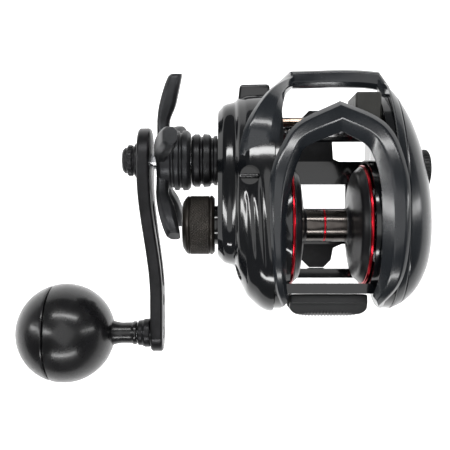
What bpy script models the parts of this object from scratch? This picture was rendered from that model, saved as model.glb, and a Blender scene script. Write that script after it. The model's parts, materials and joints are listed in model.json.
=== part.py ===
"""Low-profile baitcasting reel, built as an assembly of separate parts.

Frame of the model: the origin is on the underside of the reel foot, below the middle of the
spool. +X points to the palm side, +Y to the front, where the line leaves, and +Z up.
All lengths are in metres.
"""

import math

import bmesh
import bpy
from mathutils import Vector

# ---------------------------------------------------------------- driving dimensions

GAP = 0.0003                    # clearance between touching pieces
RUNNING_GAP = 0.00015           # radial clearance of a shaft in its bore
ROUND_STEPS = 20
SMALL_STEPS = 12

# Axes, which all lie along X, as (y, z)
SPOOL_Z = 0.0254
DRIVE_Y = 0.0220
DRIVE_Z = 0.0205
GUIDE_BAR_Y = 0.0346
GUIDE_BAR_Z = 0.0245
WORM_Y = 0.0325

# Spool
SPOOL_RADIUS = 0.0200
SPOOL_HALF_WIDTH = 0.0126
ARBOR_RADIUS = 0.0054
FLANGE_WALL = 0.0011
SPOOL_SHAFT_RADIUS = 0.0016
SPOOL_SHAFT_RIGHT = 0.0196
SHAFT_END_DEPTH = 0.0034        # end of the spool shaft past the face of the gear side cover
SPOOL_HUB_RADIUS = 0.0034
PIN_RADIUS = 0.0005
PIN_REACH = 0.0024
PALM_BEARING = 0.0036           # outer radius of the bearing behind the palm cover
SHAFT_BEARING = 0.0052          # outer radius of the drive shaft's bearing in the frame

# Frame
PLATE_THICKNESS = 0.0026
LEFT_PLATE_INNER = -0.0152
RIGHT_PLATE_INNER = 0.0176
LEFT_PLATE_OUTER = LEFT_PLATE_INNER - PLATE_THICKNESS
RIGHT_PLATE_OUTER = RIGHT_PLATE_INNER + PLATE_THICKNESS
SPOOL_OPENING_WALL = 0.0007
PLATE_INSET = 0.0008
BODY_UP = 0.0222
BODY_REAR = 0.0285
GEAR_SIDE_FRONT = 0.0444
GEAR_SIDE_DOWN = 0.0268
PALM_SIDE_FRONT = 0.0520
PALM_SIDE_DOWN = 0.0246
RIGHT_PLATE_FRONT = 0.0450
NOSE_DROOP = 0.0080
NOSE_REACH = 0.0500
FULL_CURVE = 2.6                # outline power of the squarer gear side
SOFT_CURVE = 2.2                # outline power of the palm side
OUTLINE_POINTS = 32

# Foot
FOOT_THICKNESS = 0.0024
FOOT_HALF_WIDTH = 0.0130
FOOT_WINDOW_HALF_WIDTH = 0.0108
TONGUE_ROOT_HALF_WIDTH = 0.0062
TONGUE_TIP_HALF_WIDTH = 0.0053
FOOT_FRONT = 0.0420
FOOT_REAR = -0.0155
SADDLE_FRONT = 0.0060
SADDLE_REAR = -0.0069
FRONT_BAR_FRONT = 0.0227
FRONT_BAR_REAR = 0.0145
FRONT_BAR_TOP = 0.0088
SADDLE_TOP = 0.0048
REAR_BAR_FRONT = -0.0156
REAR_BAR_REAR = -0.0189
REAR_BAR_TOP = 0.0094
BRIDGE_FRONT = -0.0188
BRIDGE_REAR = -0.0220
BRIDGE_Z = (0.0345, 0.0362)
BAR_BITE = 0.0010               # how far each bar runs into the plates
SHROUD_WALL = 0.0010            # collar on each plate, round the rim of the spool

# Screws
SCREW_SHANK = 0.0009
SCREW_HEAD = 0.0018
SCREW_HEAD_HEIGHT = 0.0010
FOOT_SCREW_SPACING = 0.0150
FOOT_SCREW_LENGTH = 0.0044
COVER_SCREW_SINK = 0.0077       # underside of each head from the base of the gear side cover
COVER_SCREW_BITE = 0.0018

# Covers
COVER_WALL = 0.0014
COVER_SKIRT = 0.0006
PALM_DEPTH = 0.0215
PALM_START = 0.0130
PALM_TIP_SHARE = 0.985
GEAR_COVER_OUTER = -0.0358
GEAR_COVER_BASE = LEFT_PLATE_OUTER - GAP
PALM_COVER_BASE = RIGHT_PLATE_OUTER + GAP
COVER_SCREW_HEAD_X = GEAR_COVER_BASE - COVER_SCREW_SINK
FRONT_TAB_REACH = 0.0028

# Gears: the teeth and the axes fix each module
MAIN_TEETH = 54
PINION_TEETH = 10
LEVELWIND_DRIVE_TEETH = 20
WORM_GEAR_TEETH = 27
LEVELWIND_MODULE = 0.0005
PRESSURE_ANGLE = math.radians(20)
TOOTH_SHARE = 0.42
ADDENDUM = 0.80
DEDENDUM = 1.10

# Drive train stations along X, from the left plate outwards
DRIVE_SHAFT_RADIUS = 0.0030
SPOOL_PIN_X = LEFT_PLATE_OUTER - 0.0009
CLUTCH_CAM_X = (LEFT_PLATE_OUTER - 0.0009, LEFT_PLATE_OUTER - 0.0004)
YOKE_X = (LEFT_PLATE_OUTER - 0.0020, LEFT_PLATE_OUTER - 0.0012)
YOKE_POST_OFFSET = 0.0090
YOKE_POST_RADIUS = 0.0010
YOKE_POST_LENGTH = 0.0092
YOKE_SPRING_LENGTH = 0.0064
PINION_X = (LEFT_PLATE_OUTER - 0.0127, YOKE_X[0] - GAP)
PINION_NECK_RADIUS = 0.0027
LEVELWIND_GEAR_X = (LEFT_PLATE_OUTER - 0.0026, LEFT_PLATE_OUTER - 0.0006)
DRIVE_PLATE_X = (LEVELWIND_GEAR_X[0] - 0.0013, LEVELWIND_GEAR_X[0] - GAP)
MAIN_GEAR_X = (DRIVE_PLATE_X[0] - 0.0035, DRIVE_PLATE_X[0] - GAP)
DRAG_WASHER_X = (MAIN_GEAR_X[0] - 0.0011, MAIN_GEAR_X[0] - GAP)
PRESSURE_PLATE_X = (DRAG_WASHER_X[0] - 0.0014, DRAG_WASHER_X[0] - GAP)
HOUSING_X = (GEAR_COVER_OUTER - 0.0089, GEAR_COVER_OUTER - 0.0022)
HOUSING_RADIUS = 0.0091
HOUSING_BORE = 0.0074
SLEEVE_X = (HOUSING_X[0] + 0.0009, PRESSURE_PLATE_X[0] - GAP)
SLEEVE_RADIUS = DRIVE_SHAFT_RADIUS + 0.0012
SPOOL_SHAFT_LEFT = GEAR_COVER_OUTER - SHAFT_END_DEPTH

# Handle
STAR_HUB_X = (HOUSING_X[0] - 0.0117, HOUSING_X[0] - 0.0004)
STAR_HUB_RADIUS = 0.0102
STAR_REACH = 0.0290
STAR_ARMS = 5
STAR_PHASE = math.radians(8)
HANDLE_THICKNESS = 0.0042
HANDLE_HUB_X = STAR_HUB_X[0] - HANDLE_THICKNESS / 2 - 0.0021
HANDLE_STEP = 0.0041            # how far the knob end of the arm steps in towards the body
HANDLE_TIP_X = HANDLE_HUB_X + HANDLE_STEP
HANDLE_HUB_RADIUS = 0.0110
HANDLE_TIP_RADIUS = 0.0062
CRANK_RADIUS = 0.0588
NUT_X = (HANDLE_HUB_X - HANDLE_THICKNESS / 2 - 0.0056, HANDLE_HUB_X - HANDLE_THICKNESS / 2 - GAP)
KNOB_RADIUS = 0.0168
KNOB_NECK_END_X = HANDLE_TIP_X - 0.0069
KNOB_CENTRE_X = KNOB_NECK_END_X - 0.0076 - KNOB_RADIUS
KNOB_NECK_RADIUS = 0.0040
KNOB_SEAM_OFFSET = 0.0044
KNOB_SEAT_RADIUS = 0.0042
KNOB_SEAT_X = KNOB_CENTRE_X + 0.0038
SPINDLE_RADIUS = 0.0020
SHAFT_TAIL_RADIUS = 0.0024      # slimmer end of the drive shaft, through the arm and the nut

# Cast control knob
TENSION_KNOB_X = (GEAR_COVER_OUTER - 0.0118, GEAR_COVER_OUTER - 0.0011)
TENSION_KNOB_RADIUS = 0.0100
TENSION_BOSS_RADIUS = 0.0066
TENSION_BOSS_BORE = 0.0046

# Level wind
GUIDE_BAR_RADIUS = 0.0015
WORM_RADIUS = 0.0024
WORM_GUARD_RADIUS = 0.0036
LINE_GUIDE_X = 0.0128
LINE_GUIDE_WIDTH = 0.0084
LINE_GUIDE_REAR = 0.0312
LINE_GUIDE_FRONT = 0.0430
LINE_GUIDE_RISE = 0.0105        # top of the guide above its bar
EYE_RADIUS = 0.0029
EYE_DROP = 0.0045               # eye below the top of the guide
PAWL_RADIUS = 0.0009
WORM_PITCH = 0.0045
WORM_THREADS = 6
WORM_TAIL_RADIUS = 0.0016

# Brake dial on the palm side, as (y, z)
DIAL_Y = 0.0184
DIAL_Z = 0.0270
DIAL_RADIUS = 0.0067
DIAL_OUTER_X = 0.0336
DIAL_INNER_X = 0.0300
BRAKE_BOSS_RADIUS = 0.0050

# Hood over the top, and thumb bar behind
HOOD_THICKNESS = 0.0022
THUMB_BAR_TRAVEL = 0.0040
THUMB_BAR_HALF_WIDTH = 0.0125
THUMB_TAB_Y = -0.0243
THUMB_TAB_Z = 0.0290
THUMB_TAB_HALF = 0.0015

# ---------------------------------------------------------------- derived places

DRIVE_AXIS = (DRIVE_Y, DRIVE_Z)
SPOOL_AXIS = (0.0, SPOOL_Z)
GEAR_CENTRES = math.hypot(DRIVE_Y, SPOOL_Z - DRIVE_Z)
MAIN_MODULE = 2 * GEAR_CENTRES / (MAIN_TEETH + PINION_TEETH)
LEVELWIND_CENTRES = LEVELWIND_MODULE * (LEVELWIND_DRIVE_TEETH + WORM_GEAR_TEETH) / 2
WORM_Z = DRIVE_Z - math.sqrt(LEVELWIND_CENTRES ** 2 - (WORM_Y - DRIVE_Y) ** 2)
WORM_AXIS = (WORM_Y, WORM_Z)
GUIDE_AXIS = (GUIDE_BAR_Y, GUIDE_BAR_Z)
KNOB_AXIS = (DRIVE_Y - CRANK_RADIUS, DRIVE_Z)
SPOOL_OPENING = SPOOL_RADIUS + SPOOL_OPENING_WALL
MESH_ANGLE = math.atan2(SPOOL_Z - DRIVE_Z, -DRIVE_Y)
WORM_MESH_ANGLE = math.atan2(WORM_Z - DRIVE_Z, WORM_Y - DRIVE_Y)

ALONG_X = (0.0, math.pi / 2, 0.0)
FACING_X = (math.pi / 2, 0.0, math.pi / 2)

FINISHES = {
    "gloss_black": ((0.02, 0.022, 0.025), 0.22, 0.0),
    "slate": ((0.075, 0.085, 0.10), 0.30, 0.4),
    "satin_black": ((0.03, 0.03, 0.032), 0.45, 0.2),
    "charcoal": ((0.045, 0.047, 0.05), 0.60, 0.0),
    "red": ((0.55, 0.02, 0.03), 0.28, 0.9),
    "steel": ((0.62, 0.63, 0.65), 0.28, 1.0),
    "brass": ((0.72, 0.55, 0.26), 0.30, 1.0),
    "bronze": ((0.36, 0.27, 0.20), 0.30, 1.0),
    "carbon": ((0.05, 0.05, 0.05), 0.70, 0.0),
    "ceramic": ((0.75, 0.74, 0.72), 0.25, 0.0),
    "magnet": ((0.55, 0.55, 0.56), 0.25, 1.0),
}

for old in list(bpy.data.objects):
    bpy.data.objects.remove(old, do_unlink=True)

PARTS = bpy.data.collections.new("baitcasting_reel")
CUTTERS = bpy.data.collections.new("cutters")
for group in (PARTS, CUTTERS):
    bpy.context.scene.collection.children.link(group)


# ---------------------------------------------------------------- tools

def paint(obj, finish):
    """Give an object its own material in the named finish."""
    colour, roughness, metallic = FINISHES[finish]
    paint_material = bpy.data.materials.new(obj.name)
    paint_material.use_nodes = True
    shader = paint_material.node_tree.nodes["Principled BSDF"]
    shader.inputs["Base Color"].default_value = (*colour, 1.0)
    shader.inputs["Roughness"].default_value = roughness
    shader.inputs["Metallic"].default_value = metallic
    obj.data.materials.append(paint_material)


def place(name, mesh, location, rotation, finish):
    """Link a mesh as a part, or as a cutter when it has no finish."""
    obj = bpy.data.objects.new(name, mesh)
    obj.location = location
    obj.rotation_euler = rotation
    if finish is None:
        CUTTERS.objects.link(obj)
        obj.hide_render = True
        obj.display_type = "WIRE"
    else:
        PARTS.objects.link(obj)
        paint(obj, finish)
    return obj


def turned(name, profile, axis, finish, closed=False, steps=ROUND_STEPS):
    """Turn a profile of (radius, x) points, from its +X end to its -X end, about an axis along X."""
    mesh = bpy.data.meshes.new(name)
    edges = [(i, i + 1) for i in range(len(profile) - 1)]
    if closed:
        edges.append((len(profile) - 1, 0))
    mesh.from_pydata([(radius, 0.0, along) for radius, along in profile], edges, [])
    obj = place(name, mesh, (0.0, axis[0], axis[1]), ALONG_X, finish)
    screw = obj.modifiers.new("turn", "SCREW")
    screw.axis = "Z"
    screw.angle = 2 * math.pi
    screw.steps = steps
    screw.render_steps = steps
    screw.use_merge_vertices = True
    screw.merge_threshold = 0.00001
    return obj


def stepped(*steps):
    """Profile of a solid stepped shaft from (radius, high x, low x) steps, highest x first."""
    profile = [(0.0, steps[0][1])]
    for radius, high, low in steps:
        profile.append((radius, high))
        profile.append((radius, low))
    profile.append((0.0, steps[-1][2]))
    return profile


def ring(name, outer, inner, x_range, axis, finish, steps=ROUND_STEPS):
    """Plain ring between two radii."""
    low, high = x_range
    profile = [(outer, high), (outer, low), (inner, low), (inner, high)]
    return turned(name, profile, axis, finish, closed=True, steps=steps)


def bearing(name, outer, inner, x_range, axis, steps=ROUND_STEPS):
    """Ball bearing as one steel ring, with its inner race a little narrower at the low end."""
    low, high = x_range
    relief = (high - low) * 0.12
    middle = (outer + inner) / 2
    profile = [(outer, high), (outer, low), (middle, low + relief), (inner, low), (inner, high)]
    return turned(name, profile, axis, "steel", closed=True, steps=steps)


def drum(name, radius, x_range, axis, finish=None, steps=ROUND_STEPS):
    """Solid cylinder along X."""
    mesh = bpy.data.meshes.new(name)
    form = bmesh.new()
    low, high = x_range
    bmesh.ops.create_cone(form, cap_ends=True, segments=steps, radius1=radius, radius2=radius,
                          depth=high - low)
    form.to_mesh(mesh)
    form.free()
    return place(name, mesh, ((low + high) / 2, axis[0], axis[1]), ALONG_X, finish)


def upright_drum(name, radius, z_range, x, y, finish=None, steps=SMALL_STEPS):
    """Solid cylinder along Z."""
    mesh = bpy.data.meshes.new(name)
    form = bmesh.new()
    low, high = z_range
    bmesh.ops.create_cone(form, cap_ends=True, segments=steps, radius1=radius, radius2=radius,
                          depth=high - low)
    form.to_mesh(mesh)
    form.free()
    return place(name, mesh, (x, y, (low + high) / 2), (0.0, 0.0, 0.0), finish)


def block(name, low, high, finish=None):
    """Box between two corners."""
    mesh = bpy.data.meshes.new(name)
    form = bmesh.new()
    bmesh.ops.create_cube(form, size=1.0)
    for vertex in form.verts:
        vertex.co = Vector(vertex.co[i] * (high[i] - low[i]) for i in range(3))
    form.to_mesh(mesh)
    form.free()
    centre = [(low[i] + high[i]) / 2 for i in range(3)]
    return place(name, mesh, centre, (0.0, 0.0, 0.0), finish)


def flat(name, loops, span, finish=None, facing=FACING_X, origin=(0.0, 0.0)):
    """Plate cut to one outline and its holes, between the two ends of a span.

    Facing X, the outline is (y, z) and the span is in x; facing up, it is (x, y) and z.
    """
    curve = bpy.data.curves.new(name, "CURVE")
    curve.dimensions = "2D"
    curve.fill_mode = "BOTH"
    curve.extrude = (span[1] - span[0]) / 2
    for loop in loops:
        spline = curve.splines.new("POLY")
        spline.points.add(len(loop) - 1)
        spline.use_cyclic_u = True
        for point, (across, along) in zip(spline.points, loop):
            point.co = (across - origin[0], along - origin[1], 0.0, 1.0)
    drawn = bpy.data.objects.new(name + "_outline", curve)
    CUTTERS.objects.link(drawn)
    graph = bpy.context.evaluated_depsgraph_get()
    graph.update()
    mesh = bpy.data.meshes.new_from_object(drawn.evaluated_get(graph))
    mesh.name = name
    form = bmesh.new()
    form.from_mesh(mesh)
    bmesh.ops.remove_doubles(form, verts=form.verts, dist=0.000001)
    form.to_mesh(mesh)
    form.free()
    bpy.data.objects.remove(drawn, do_unlink=True)
    middle = (span[0] + span[1]) / 2
    if facing == FACING_X:
        location = (middle, origin[0], origin[1])
    else:
        location = (origin[0], origin[1], middle)
    return place(name, mesh, location, facing, finish)


def combine(obj, other, operation, solver="EXACT"):
    """Boolean of an object with a guide that stays out of the build."""
    change = obj.modifiers.new(other.name, "BOOLEAN")
    change.operation = operation
    change.solver = solver
    change.object = other
    return obj


def cut(obj, *cutters, solver="EXACT"):
    """Take the cutters out of an object."""
    for cutter in cutters:
        combine(obj, cutter, "DIFFERENCE", solver)
    return obj


def join(obj, *guides):
    """Grow an object by the guides."""
    for guide in guides:
        combine(obj, guide, "UNION")
    return obj


def soften(obj, width, segments=1, angle=40):
    """Round the sharper edges."""
    bevel = obj.modifiers.new("edge", "BEVEL")
    bevel.width = width
    bevel.segments = segments
    bevel.limit_method = "ANGLE"
    bevel.angle_limit = math.radians(angle)
    return obj


def hang(obj, empty):
    """Parent an object to an empty and keep it where it is."""
    obj.location = Vector(obj.location) - Vector(empty.location)
    obj.parent = empty


def joint_empty(name, location):
    """Empty on a joint's axis, which carries the pieces that move together."""
    empty = bpy.data.objects.new(name, None)
    empty.location = location
    empty.empty_display_size = 0.005
    PARTS.objects.link(empty)
    return empty


def circle(radius, centre, count=ROUND_STEPS):
    """Points round a circle in the plane of an outline."""
    angles = [2 * math.pi * i / count for i in range(count)]
    return [(centre[0] + radius * math.cos(a), centre[1] + radius * math.sin(a)) for a in angles]


def smooth_path(points, per_span):
    """Catmull-Rom curve through hand-chosen points of any dimension."""
    padded = [points[0], *points, points[-1]]
    path = []
    for i in range(len(points) - 1):
        before, start, end, after = padded[i:i + 4]
        for step in range(per_span):
            t = step / per_span
            path.append(tuple(
                0.5 * (2 * s + (e - b) * t + (2 * b - 5 * s + 4 * e - a) * t ** 2
                       + (3 * s - b - 3 * e + a) * t ** 3)
                for b, s, e, a in zip(before, start, end, after)))
    path.append(tuple(points[-1]))
    return path


def skin(name, rows, thickness, finish, closed_rows=False, cap_last=False, offset=-1.0):
    """Open surface through rows of points, thickened on the side away from its normals."""
    mesh = bpy.data.meshes.new(name)
    form = bmesh.new()
    grid = [[form.verts.new(point) for point in row] for row in rows]
    columns = len(rows[0])
    last = columns if closed_rows else columns - 1
    for below, above in zip(grid, grid[1:]):
        for i in range(last):
            j = (i + 1) % columns
            form.faces.new((below[i], below[j], above[j], above[i]))
    if cap_last:
        form.faces.new(grid[-1])
    form.to_mesh(mesh)
    form.free()
    obj = place(name, mesh, (0.0, 0.0, 0.0), (0.0, 0.0, 0.0), finish)
    wall = obj.modifiers.new("wall", "SOLIDIFY")
    wall.thickness = thickness
    wall.offset = offset
    wall.use_even_offset = True
    return obj


# ---------------------------------------------------------------- shared outlines

def signed_power(value, power):
    """Power of a value that keeps its sign."""
    return math.copysign(abs(value) ** power, value)


def centre_line(y):
    """Height of the body's middle line, which droops towards the nose."""
    return SPOOL_Z - NOSE_DROOP * (max(y, 0.0) / NOSE_REACH) ** 2


def side_outline(rear, front, up, down, power, count=OUTLINE_POINTS):
    """Side view of the body: a superellipse with its own reach each way, as (y, z) points."""
    points = []
    for i in range(count):
        angle = 2 * math.pi * i / count
        reach = front if math.cos(angle) > 0 else rear
        rise = up if math.sin(angle) > 0 else down
        y = reach * signed_power(math.cos(angle), 2 / power)
        z = centre_line(y) + rise * signed_power(math.sin(angle), 2 / power)
        points.append((y, z))
    return points


def crown(y):
    """Height of the surface that the hood rests on."""
    reach = PALM_SIDE_FRONT if y > 0 else BODY_REAR
    share = min(abs(y) / reach, 0.999)
    return centre_line(y) + (BODY_UP + 2 * GAP) * (1 - share ** 2.35) ** (1 / 2.35)


def gear_outline(teeth, module, phase):
    """Involute spur gear outline about its own centre, with a tooth centred on the phase angle."""
    pitch = module * teeth / 2
    base = pitch * math.cos(PRESSURE_ANGLE)
    tip = pitch + ADDENDUM * module
    root = pitch - DEDENDUM * module
    pitch_inv = math.tan(PRESSURE_ANGLE) - PRESSURE_ANGLE
    radii = [root, tip] if root > base * 0.97 else [root, base, tip]
    flank = []
    for radius in radii:
        roll = math.acos(min(1.0, base / radius))
        half = math.pi * TOOTH_SHARE / teeth + pitch_inv - (math.tan(roll) - roll)
        flank.append((radius, half))
    points = []
    for tooth in range(teeth):
        middle = phase + 2 * math.pi * tooth / teeth
        for radius, half in flank:
            points.append((radius * math.cos(middle - half), radius * math.sin(middle - half)))
        for radius, half in reversed(flank):
            points.append((radius * math.cos(middle + half), radius * math.sin(middle + half)))
    return points


def about(points, axis):
    """Outline moved from its own centre to an axis."""
    return [(y + axis[0], z + axis[1]) for y, z in points]


# ---------------------------------------------------------------- frame and foot

def make_foot():
    """Foot plate: a tongue at each end, and a window between the saddle and the front bar."""
    root = TONGUE_ROOT_HALF_WIDTH
    tip = TONGUE_TIP_HALF_WIDTH
    corner = tip * 0.5
    shoulder = 0.0015
    outline = [
        (-root, FRONT_BAR_FRONT + shoulder), (-FOOT_HALF_WIDTH, FRONT_BAR_FRONT - shoulder),
        (-FOOT_HALF_WIDTH, SADDLE_REAR + shoulder), (-root, SADDLE_REAR - shoulder),
        (-tip, FOOT_REAR + corner), (-tip + corner, FOOT_REAR),
        (tip - corner, FOOT_REAR), (tip, FOOT_REAR + corner),
        (root, SADDLE_REAR - shoulder), (FOOT_HALF_WIDTH, SADDLE_REAR + shoulder),
        (FOOT_HALF_WIDTH, FRONT_BAR_FRONT - shoulder), (root, FRONT_BAR_FRONT + shoulder),
        (tip, FOOT_FRONT - corner), (tip - corner, FOOT_FRONT),
        (-tip + corner, FOOT_FRONT), (-tip, FOOT_FRONT - corner),
    ]
    half = FOOT_WINDOW_HALF_WIDTH
    window = [(-half, SADDLE_FRONT), (half, SADDLE_FRONT),
              (half, FRONT_BAR_REAR), (-half, FRONT_BAR_REAR)]
    foot = flat("reel_foot", [outline, window], (0.0, FOOT_THICKNESS), "satin_black",
                facing=(0.0, 0.0, 0.0))
    for index, (x, y) in enumerate(foot_screw_places()):
        hole = upright_drum(f"foot_hole_{index}", SCREW_SHANK + GAP,
                            (-0.001, FOOT_THICKNESS + 0.001), x, y)
        sink = upright_drum(f"foot_sink_{index}", SCREW_HEAD + GAP,
                            (-0.001, SCREW_HEAD_HEIGHT + GAP), x, y)
        cut(foot, hole, sink)


def foot_screw_places():
    """Two screws into the front bar and two into the saddle, as (x, y)."""
    bar = (FRONT_BAR_FRONT + FRONT_BAR_REAR) / 2
    saddle = (SADDLE_FRONT + SADDLE_REAR) / 2
    side = FOOT_SCREW_SPACING / 2
    return ((-side, bar), (side, bar), (-side, saddle), (side, saddle))


def screw(name, axis_point, along, length):
    """Cap screw with a plain shank and a cross slot, its head at the point and its tip along."""
    profile = [
        (0.0, 0.0), (SCREW_HEAD * 0.85, 0.0), (SCREW_HEAD, -0.00025),
        (SCREW_HEAD, -SCREW_HEAD_HEIGHT), (SCREW_SHANK, -SCREW_HEAD_HEIGHT),
        (SCREW_SHANK, -length), (0.0, -length),
    ]
    obj = turned(name, profile, (0.0, 0.0), "steel", steps=10)
    obj.location = axis_point
    obj.rotation_euler = along
    width = SCREW_HEAD * 0.3
    reach = SCREW_HEAD * 0.62
    for index in range(2):
        size = (reach, width / 2) if index == 0 else (width / 2, reach)
        slot = block(f"{name}_slot_{index}", (-size[0], -size[1], -0.0005),
                     (size[0], size[1], 0.0005))
        slot.location = axis_point
        slot.rotation_euler = along
        cut(obj, slot)
    return obj


def make_foot_screws():
    """Screws up through the foot into the frame, heads sunk in the underside."""
    for index, (x, y) in enumerate(foot_screw_places()):
        screw(f"foot_screw_{index + 1}", (x, y, GAP), (math.pi, 0.0, 0.0), FOOT_SCREW_LENGTH)


def make_frame():
    """One-piece frame: a plate each side, three bars below and the bores that the axles need."""
    plate_up = BODY_UP - GAP
    left_outline = side_outline(BODY_REAR - PLATE_INSET, GEAR_SIDE_FRONT - PLATE_INSET, plate_up,
                                GEAR_SIDE_DOWN - PLATE_INSET, FULL_CURVE)
    right_outline = side_outline(BODY_REAR - PLATE_INSET, RIGHT_PLATE_FRONT, plate_up,
                                 PALM_SIDE_DOWN - PLATE_INSET, SOFT_CURVE)
    loops = [left_outline, circle(0.0049, SPOOL_AXIS, 24), circle(SHAFT_BEARING + GAP, DRIVE_AXIS)]
    frame = flat("frame", loops, (LEFT_PLATE_OUTER, LEFT_PLATE_INNER), "gloss_black")
    right = flat("right_plate", [right_outline, circle(SPOOL_OPENING, SPOOL_AXIS, 32)],
                 (RIGHT_PLATE_INNER, RIGHT_PLATE_OUTER))
    ends = (LEFT_PLATE_INNER - BAR_BITE, RIGHT_PLATE_INNER + BAR_BITE)
    floor = FOOT_THICKNESS + GAP
    front_bar = block("front_bar", (ends[0], FRONT_BAR_REAR, floor),
                      (ends[1], FRONT_BAR_FRONT, FRONT_BAR_TOP))
    saddle = block("saddle_bar", (ends[0], SADDLE_REAR, floor), (ends[1], SADDLE_FRONT, SADDLE_TOP))
    rear_bar = block("rear_bar", (ends[0], REAR_BAR_REAR, floor),
                     (ends[1], REAR_BAR_FRONT, REAR_BAR_TOP))
    bridge = block("rear_bridge", (ends[0], BRIDGE_REAR, BRIDGE_Z[0]),
                   (ends[1], BRIDGE_FRONT, BRIDGE_Z[1]))
    edge = SPOOL_HALF_WIDTH + GAP
    shroud = SPOOL_OPENING + SHROUD_WALL
    left_shroud = ring("left_shroud", shroud, SPOOL_OPENING, (LEFT_PLATE_INNER - GAP, -edge),
                       SPOOL_AXIS, None, OUTLINE_POINTS)
    right_shroud = ring("right_shroud", shroud, SPOOL_OPENING, (edge, ends[1]), SPOOL_AXIS, None,
                        OUTLINE_POINTS)
    join(frame, right, front_bar, saddle, rear_bar, bridge, left_shroud, right_shroud)
    slot = THUMB_TAB_HALF + GAP + 0.0001
    bores = [
        drum("guide_bar_seat", GUIDE_BAR_RADIUS + RUNNING_GAP,
             (LEFT_PLATE_INNER - BAR_BITE - 0.0002, RIGHT_PLATE_INNER + BAR_BITE + 0.0002),
             GUIDE_AXIS, steps=SMALL_STEPS),
        drum("worm_seat", WORM_GUARD_RADIUS + 2 * GAP,
             (LEFT_PLATE_OUTER - 0.001, RIGHT_PLATE_OUTER - 0.0008), WORM_AXIS),
        block("thumb_slot", (LEFT_PLATE_OUTER - 0.001, THUMB_TAB_Y - slot,
                             THUMB_TAB_Z - slot - THUMB_BAR_TRAVEL),
              (LEFT_PLATE_INNER + 0.001, THUMB_TAB_Y + slot, THUMB_TAB_Z + slot)),
    ]
    for index, (x, y) in enumerate(foot_screw_places()):
        bores.append(upright_drum(f"frame_tap_{index}", SCREW_SHANK + RUNNING_GAP,
                                  (floor - 0.001, FOOT_SCREW_LENGTH + 2 * GAP), x, y))
    for index, place_yz in enumerate(yoke_post_places()):
        bores.append(drum(f"post_seat_{index}", YOKE_POST_RADIUS + RUNNING_GAP,
                          (LEFT_PLATE_OUTER - 0.001, LEFT_PLATE_OUTER + 0.0015), place_yz,
                          steps=SMALL_STEPS))
    for index, place_yz in enumerate(cover_screw_places()):
        bores.append(drum(f"cover_tap_{index}", SCREW_SHANK + RUNNING_GAP,
                          (LEFT_PLATE_OUTER - 0.001, LEFT_PLATE_INNER + 0.001), place_yz,
                          steps=SMALL_STEPS))
    cut(frame, *bores)


def yoke_post_places():
    """The two posts that the yoke slides on, above and below the spool axis."""
    return ((0.0, SPOOL_Z + YOKE_POST_OFFSET), (0.0, SPOOL_Z - YOKE_POST_OFFSET))


def cover_screw_places():
    """Screws that hold the gear side cover, clear of the main gear, as (y, z)."""
    return ((-0.0150, SPOOL_Z + 0.0110), (-0.0170, SPOOL_Z - 0.0100), (0.0010, SPOOL_Z - 0.0215))


# ---------------------------------------------------------------- covers

def gear_cover_rows():
    """Outlines of the gear side cover from its base to its raised outer plate."""
    depth = GEAR_COVER_BASE - GEAR_COVER_OUTER
    stations = (
        (GEAR_COVER_BASE, 0.0000, 0.0000, 0.0000, 0.0000),
        (GEAR_COVER_BASE - COVER_SKIRT, 0.0000, 0.0000, 0.0000, 0.0000),
        (GEAR_COVER_BASE - depth * 0.249, 0.0014, 0.0000, 0.0002, 0.0002),
        (GEAR_COVER_BASE - depth * 0.469, 0.0052, 0.0003, 0.0012, 0.0006),
        (GEAR_COVER_BASE - depth * 0.627, 0.0108, 0.0012, 0.0034, 0.0026),
        (GEAR_COVER_BASE - depth * 0.695, 0.0150, 0.0026, 0.0052, 0.0042),
        (GEAR_COVER_BASE - depth * 0.887, 0.0158, 0.0034, 0.0060, 0.0050),
        (GEAR_COVER_OUTER, 0.0180, 0.0058, 0.0082, 0.0072),
    )
    rows = []
    for x, rear, front, up, down in stations:
        outline = side_outline(BODY_REAR - rear, GEAR_SIDE_FRONT - front, BODY_UP - up,
                               GEAR_SIDE_DOWN - down, FULL_CURVE)
        rows.append([(x, y, z) for y, z in reversed(outline)])
    return rows


def make_gear_side_cover():
    """Stepped shell over the gears, with a threaded boss for the cast control knob."""
    cover = skin("gear_side_cover", gear_cover_rows(), COVER_WALL, "gloss_black",
                 closed_rows=True, cap_last=True)
    wall_in = GEAR_COVER_OUTER + COVER_WALL / 2
    boss_end = TENSION_KNOB_X[0] + 0.0056
    boss = drum("tension_boss", TENSION_BOSS_RADIUS, (boss_end, wall_in), SPOOL_AXIS)
    tab = block("front_tab", (GEAR_COVER_BASE - 0.0112, GEAR_SIDE_FRONT - 0.0010, DRIVE_Z - 0.0050),
                (GEAR_COVER_BASE, GEAR_SIDE_FRONT + FRONT_TAB_REACH, DRIVE_Z + 0.0060))
    join(cover, boss, tab)
    guides = []
    for index, place_yz in enumerate(cover_screw_places()):
        guides.append(drum(f"screw_post_{index}", SCREW_HEAD + 0.0013,
                           (GEAR_COVER_OUTER + 0.0074, GEAR_COVER_BASE - 0.0009), place_yz,
                           steps=SMALL_STEPS))
    join(cover, *guides)
    cutters = [
        drum("tension_bore", TENSION_BOSS_BORE, (boss_end - 0.001, GEAR_COVER_OUTER + 0.006),
             SPOOL_AXIS),
        drum("housing_hole", HOUSING_BORE + GAP,
             (GEAR_COVER_OUTER - 0.001, GEAR_COVER_OUTER + 2 * COVER_WALL), DRIVE_AXIS),
    ]
    for index, place_yz in enumerate(cover_screw_places()):
        outside = GEAR_COVER_OUTER - 0.0042
        cutters.append(drum(f"screw_sink_{index}", SCREW_HEAD + GAP,
                            (outside, COVER_SCREW_HEAD_X), place_yz, steps=SMALL_STEPS))
        cutters.append(drum(f"screw_hole_{index}", SCREW_SHANK + GAP,
                            (outside, GEAR_COVER_BASE + 0.0001), place_yz, steps=SMALL_STEPS))
    cut(cover, *cutters, solver="MANIFOLD")


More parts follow.
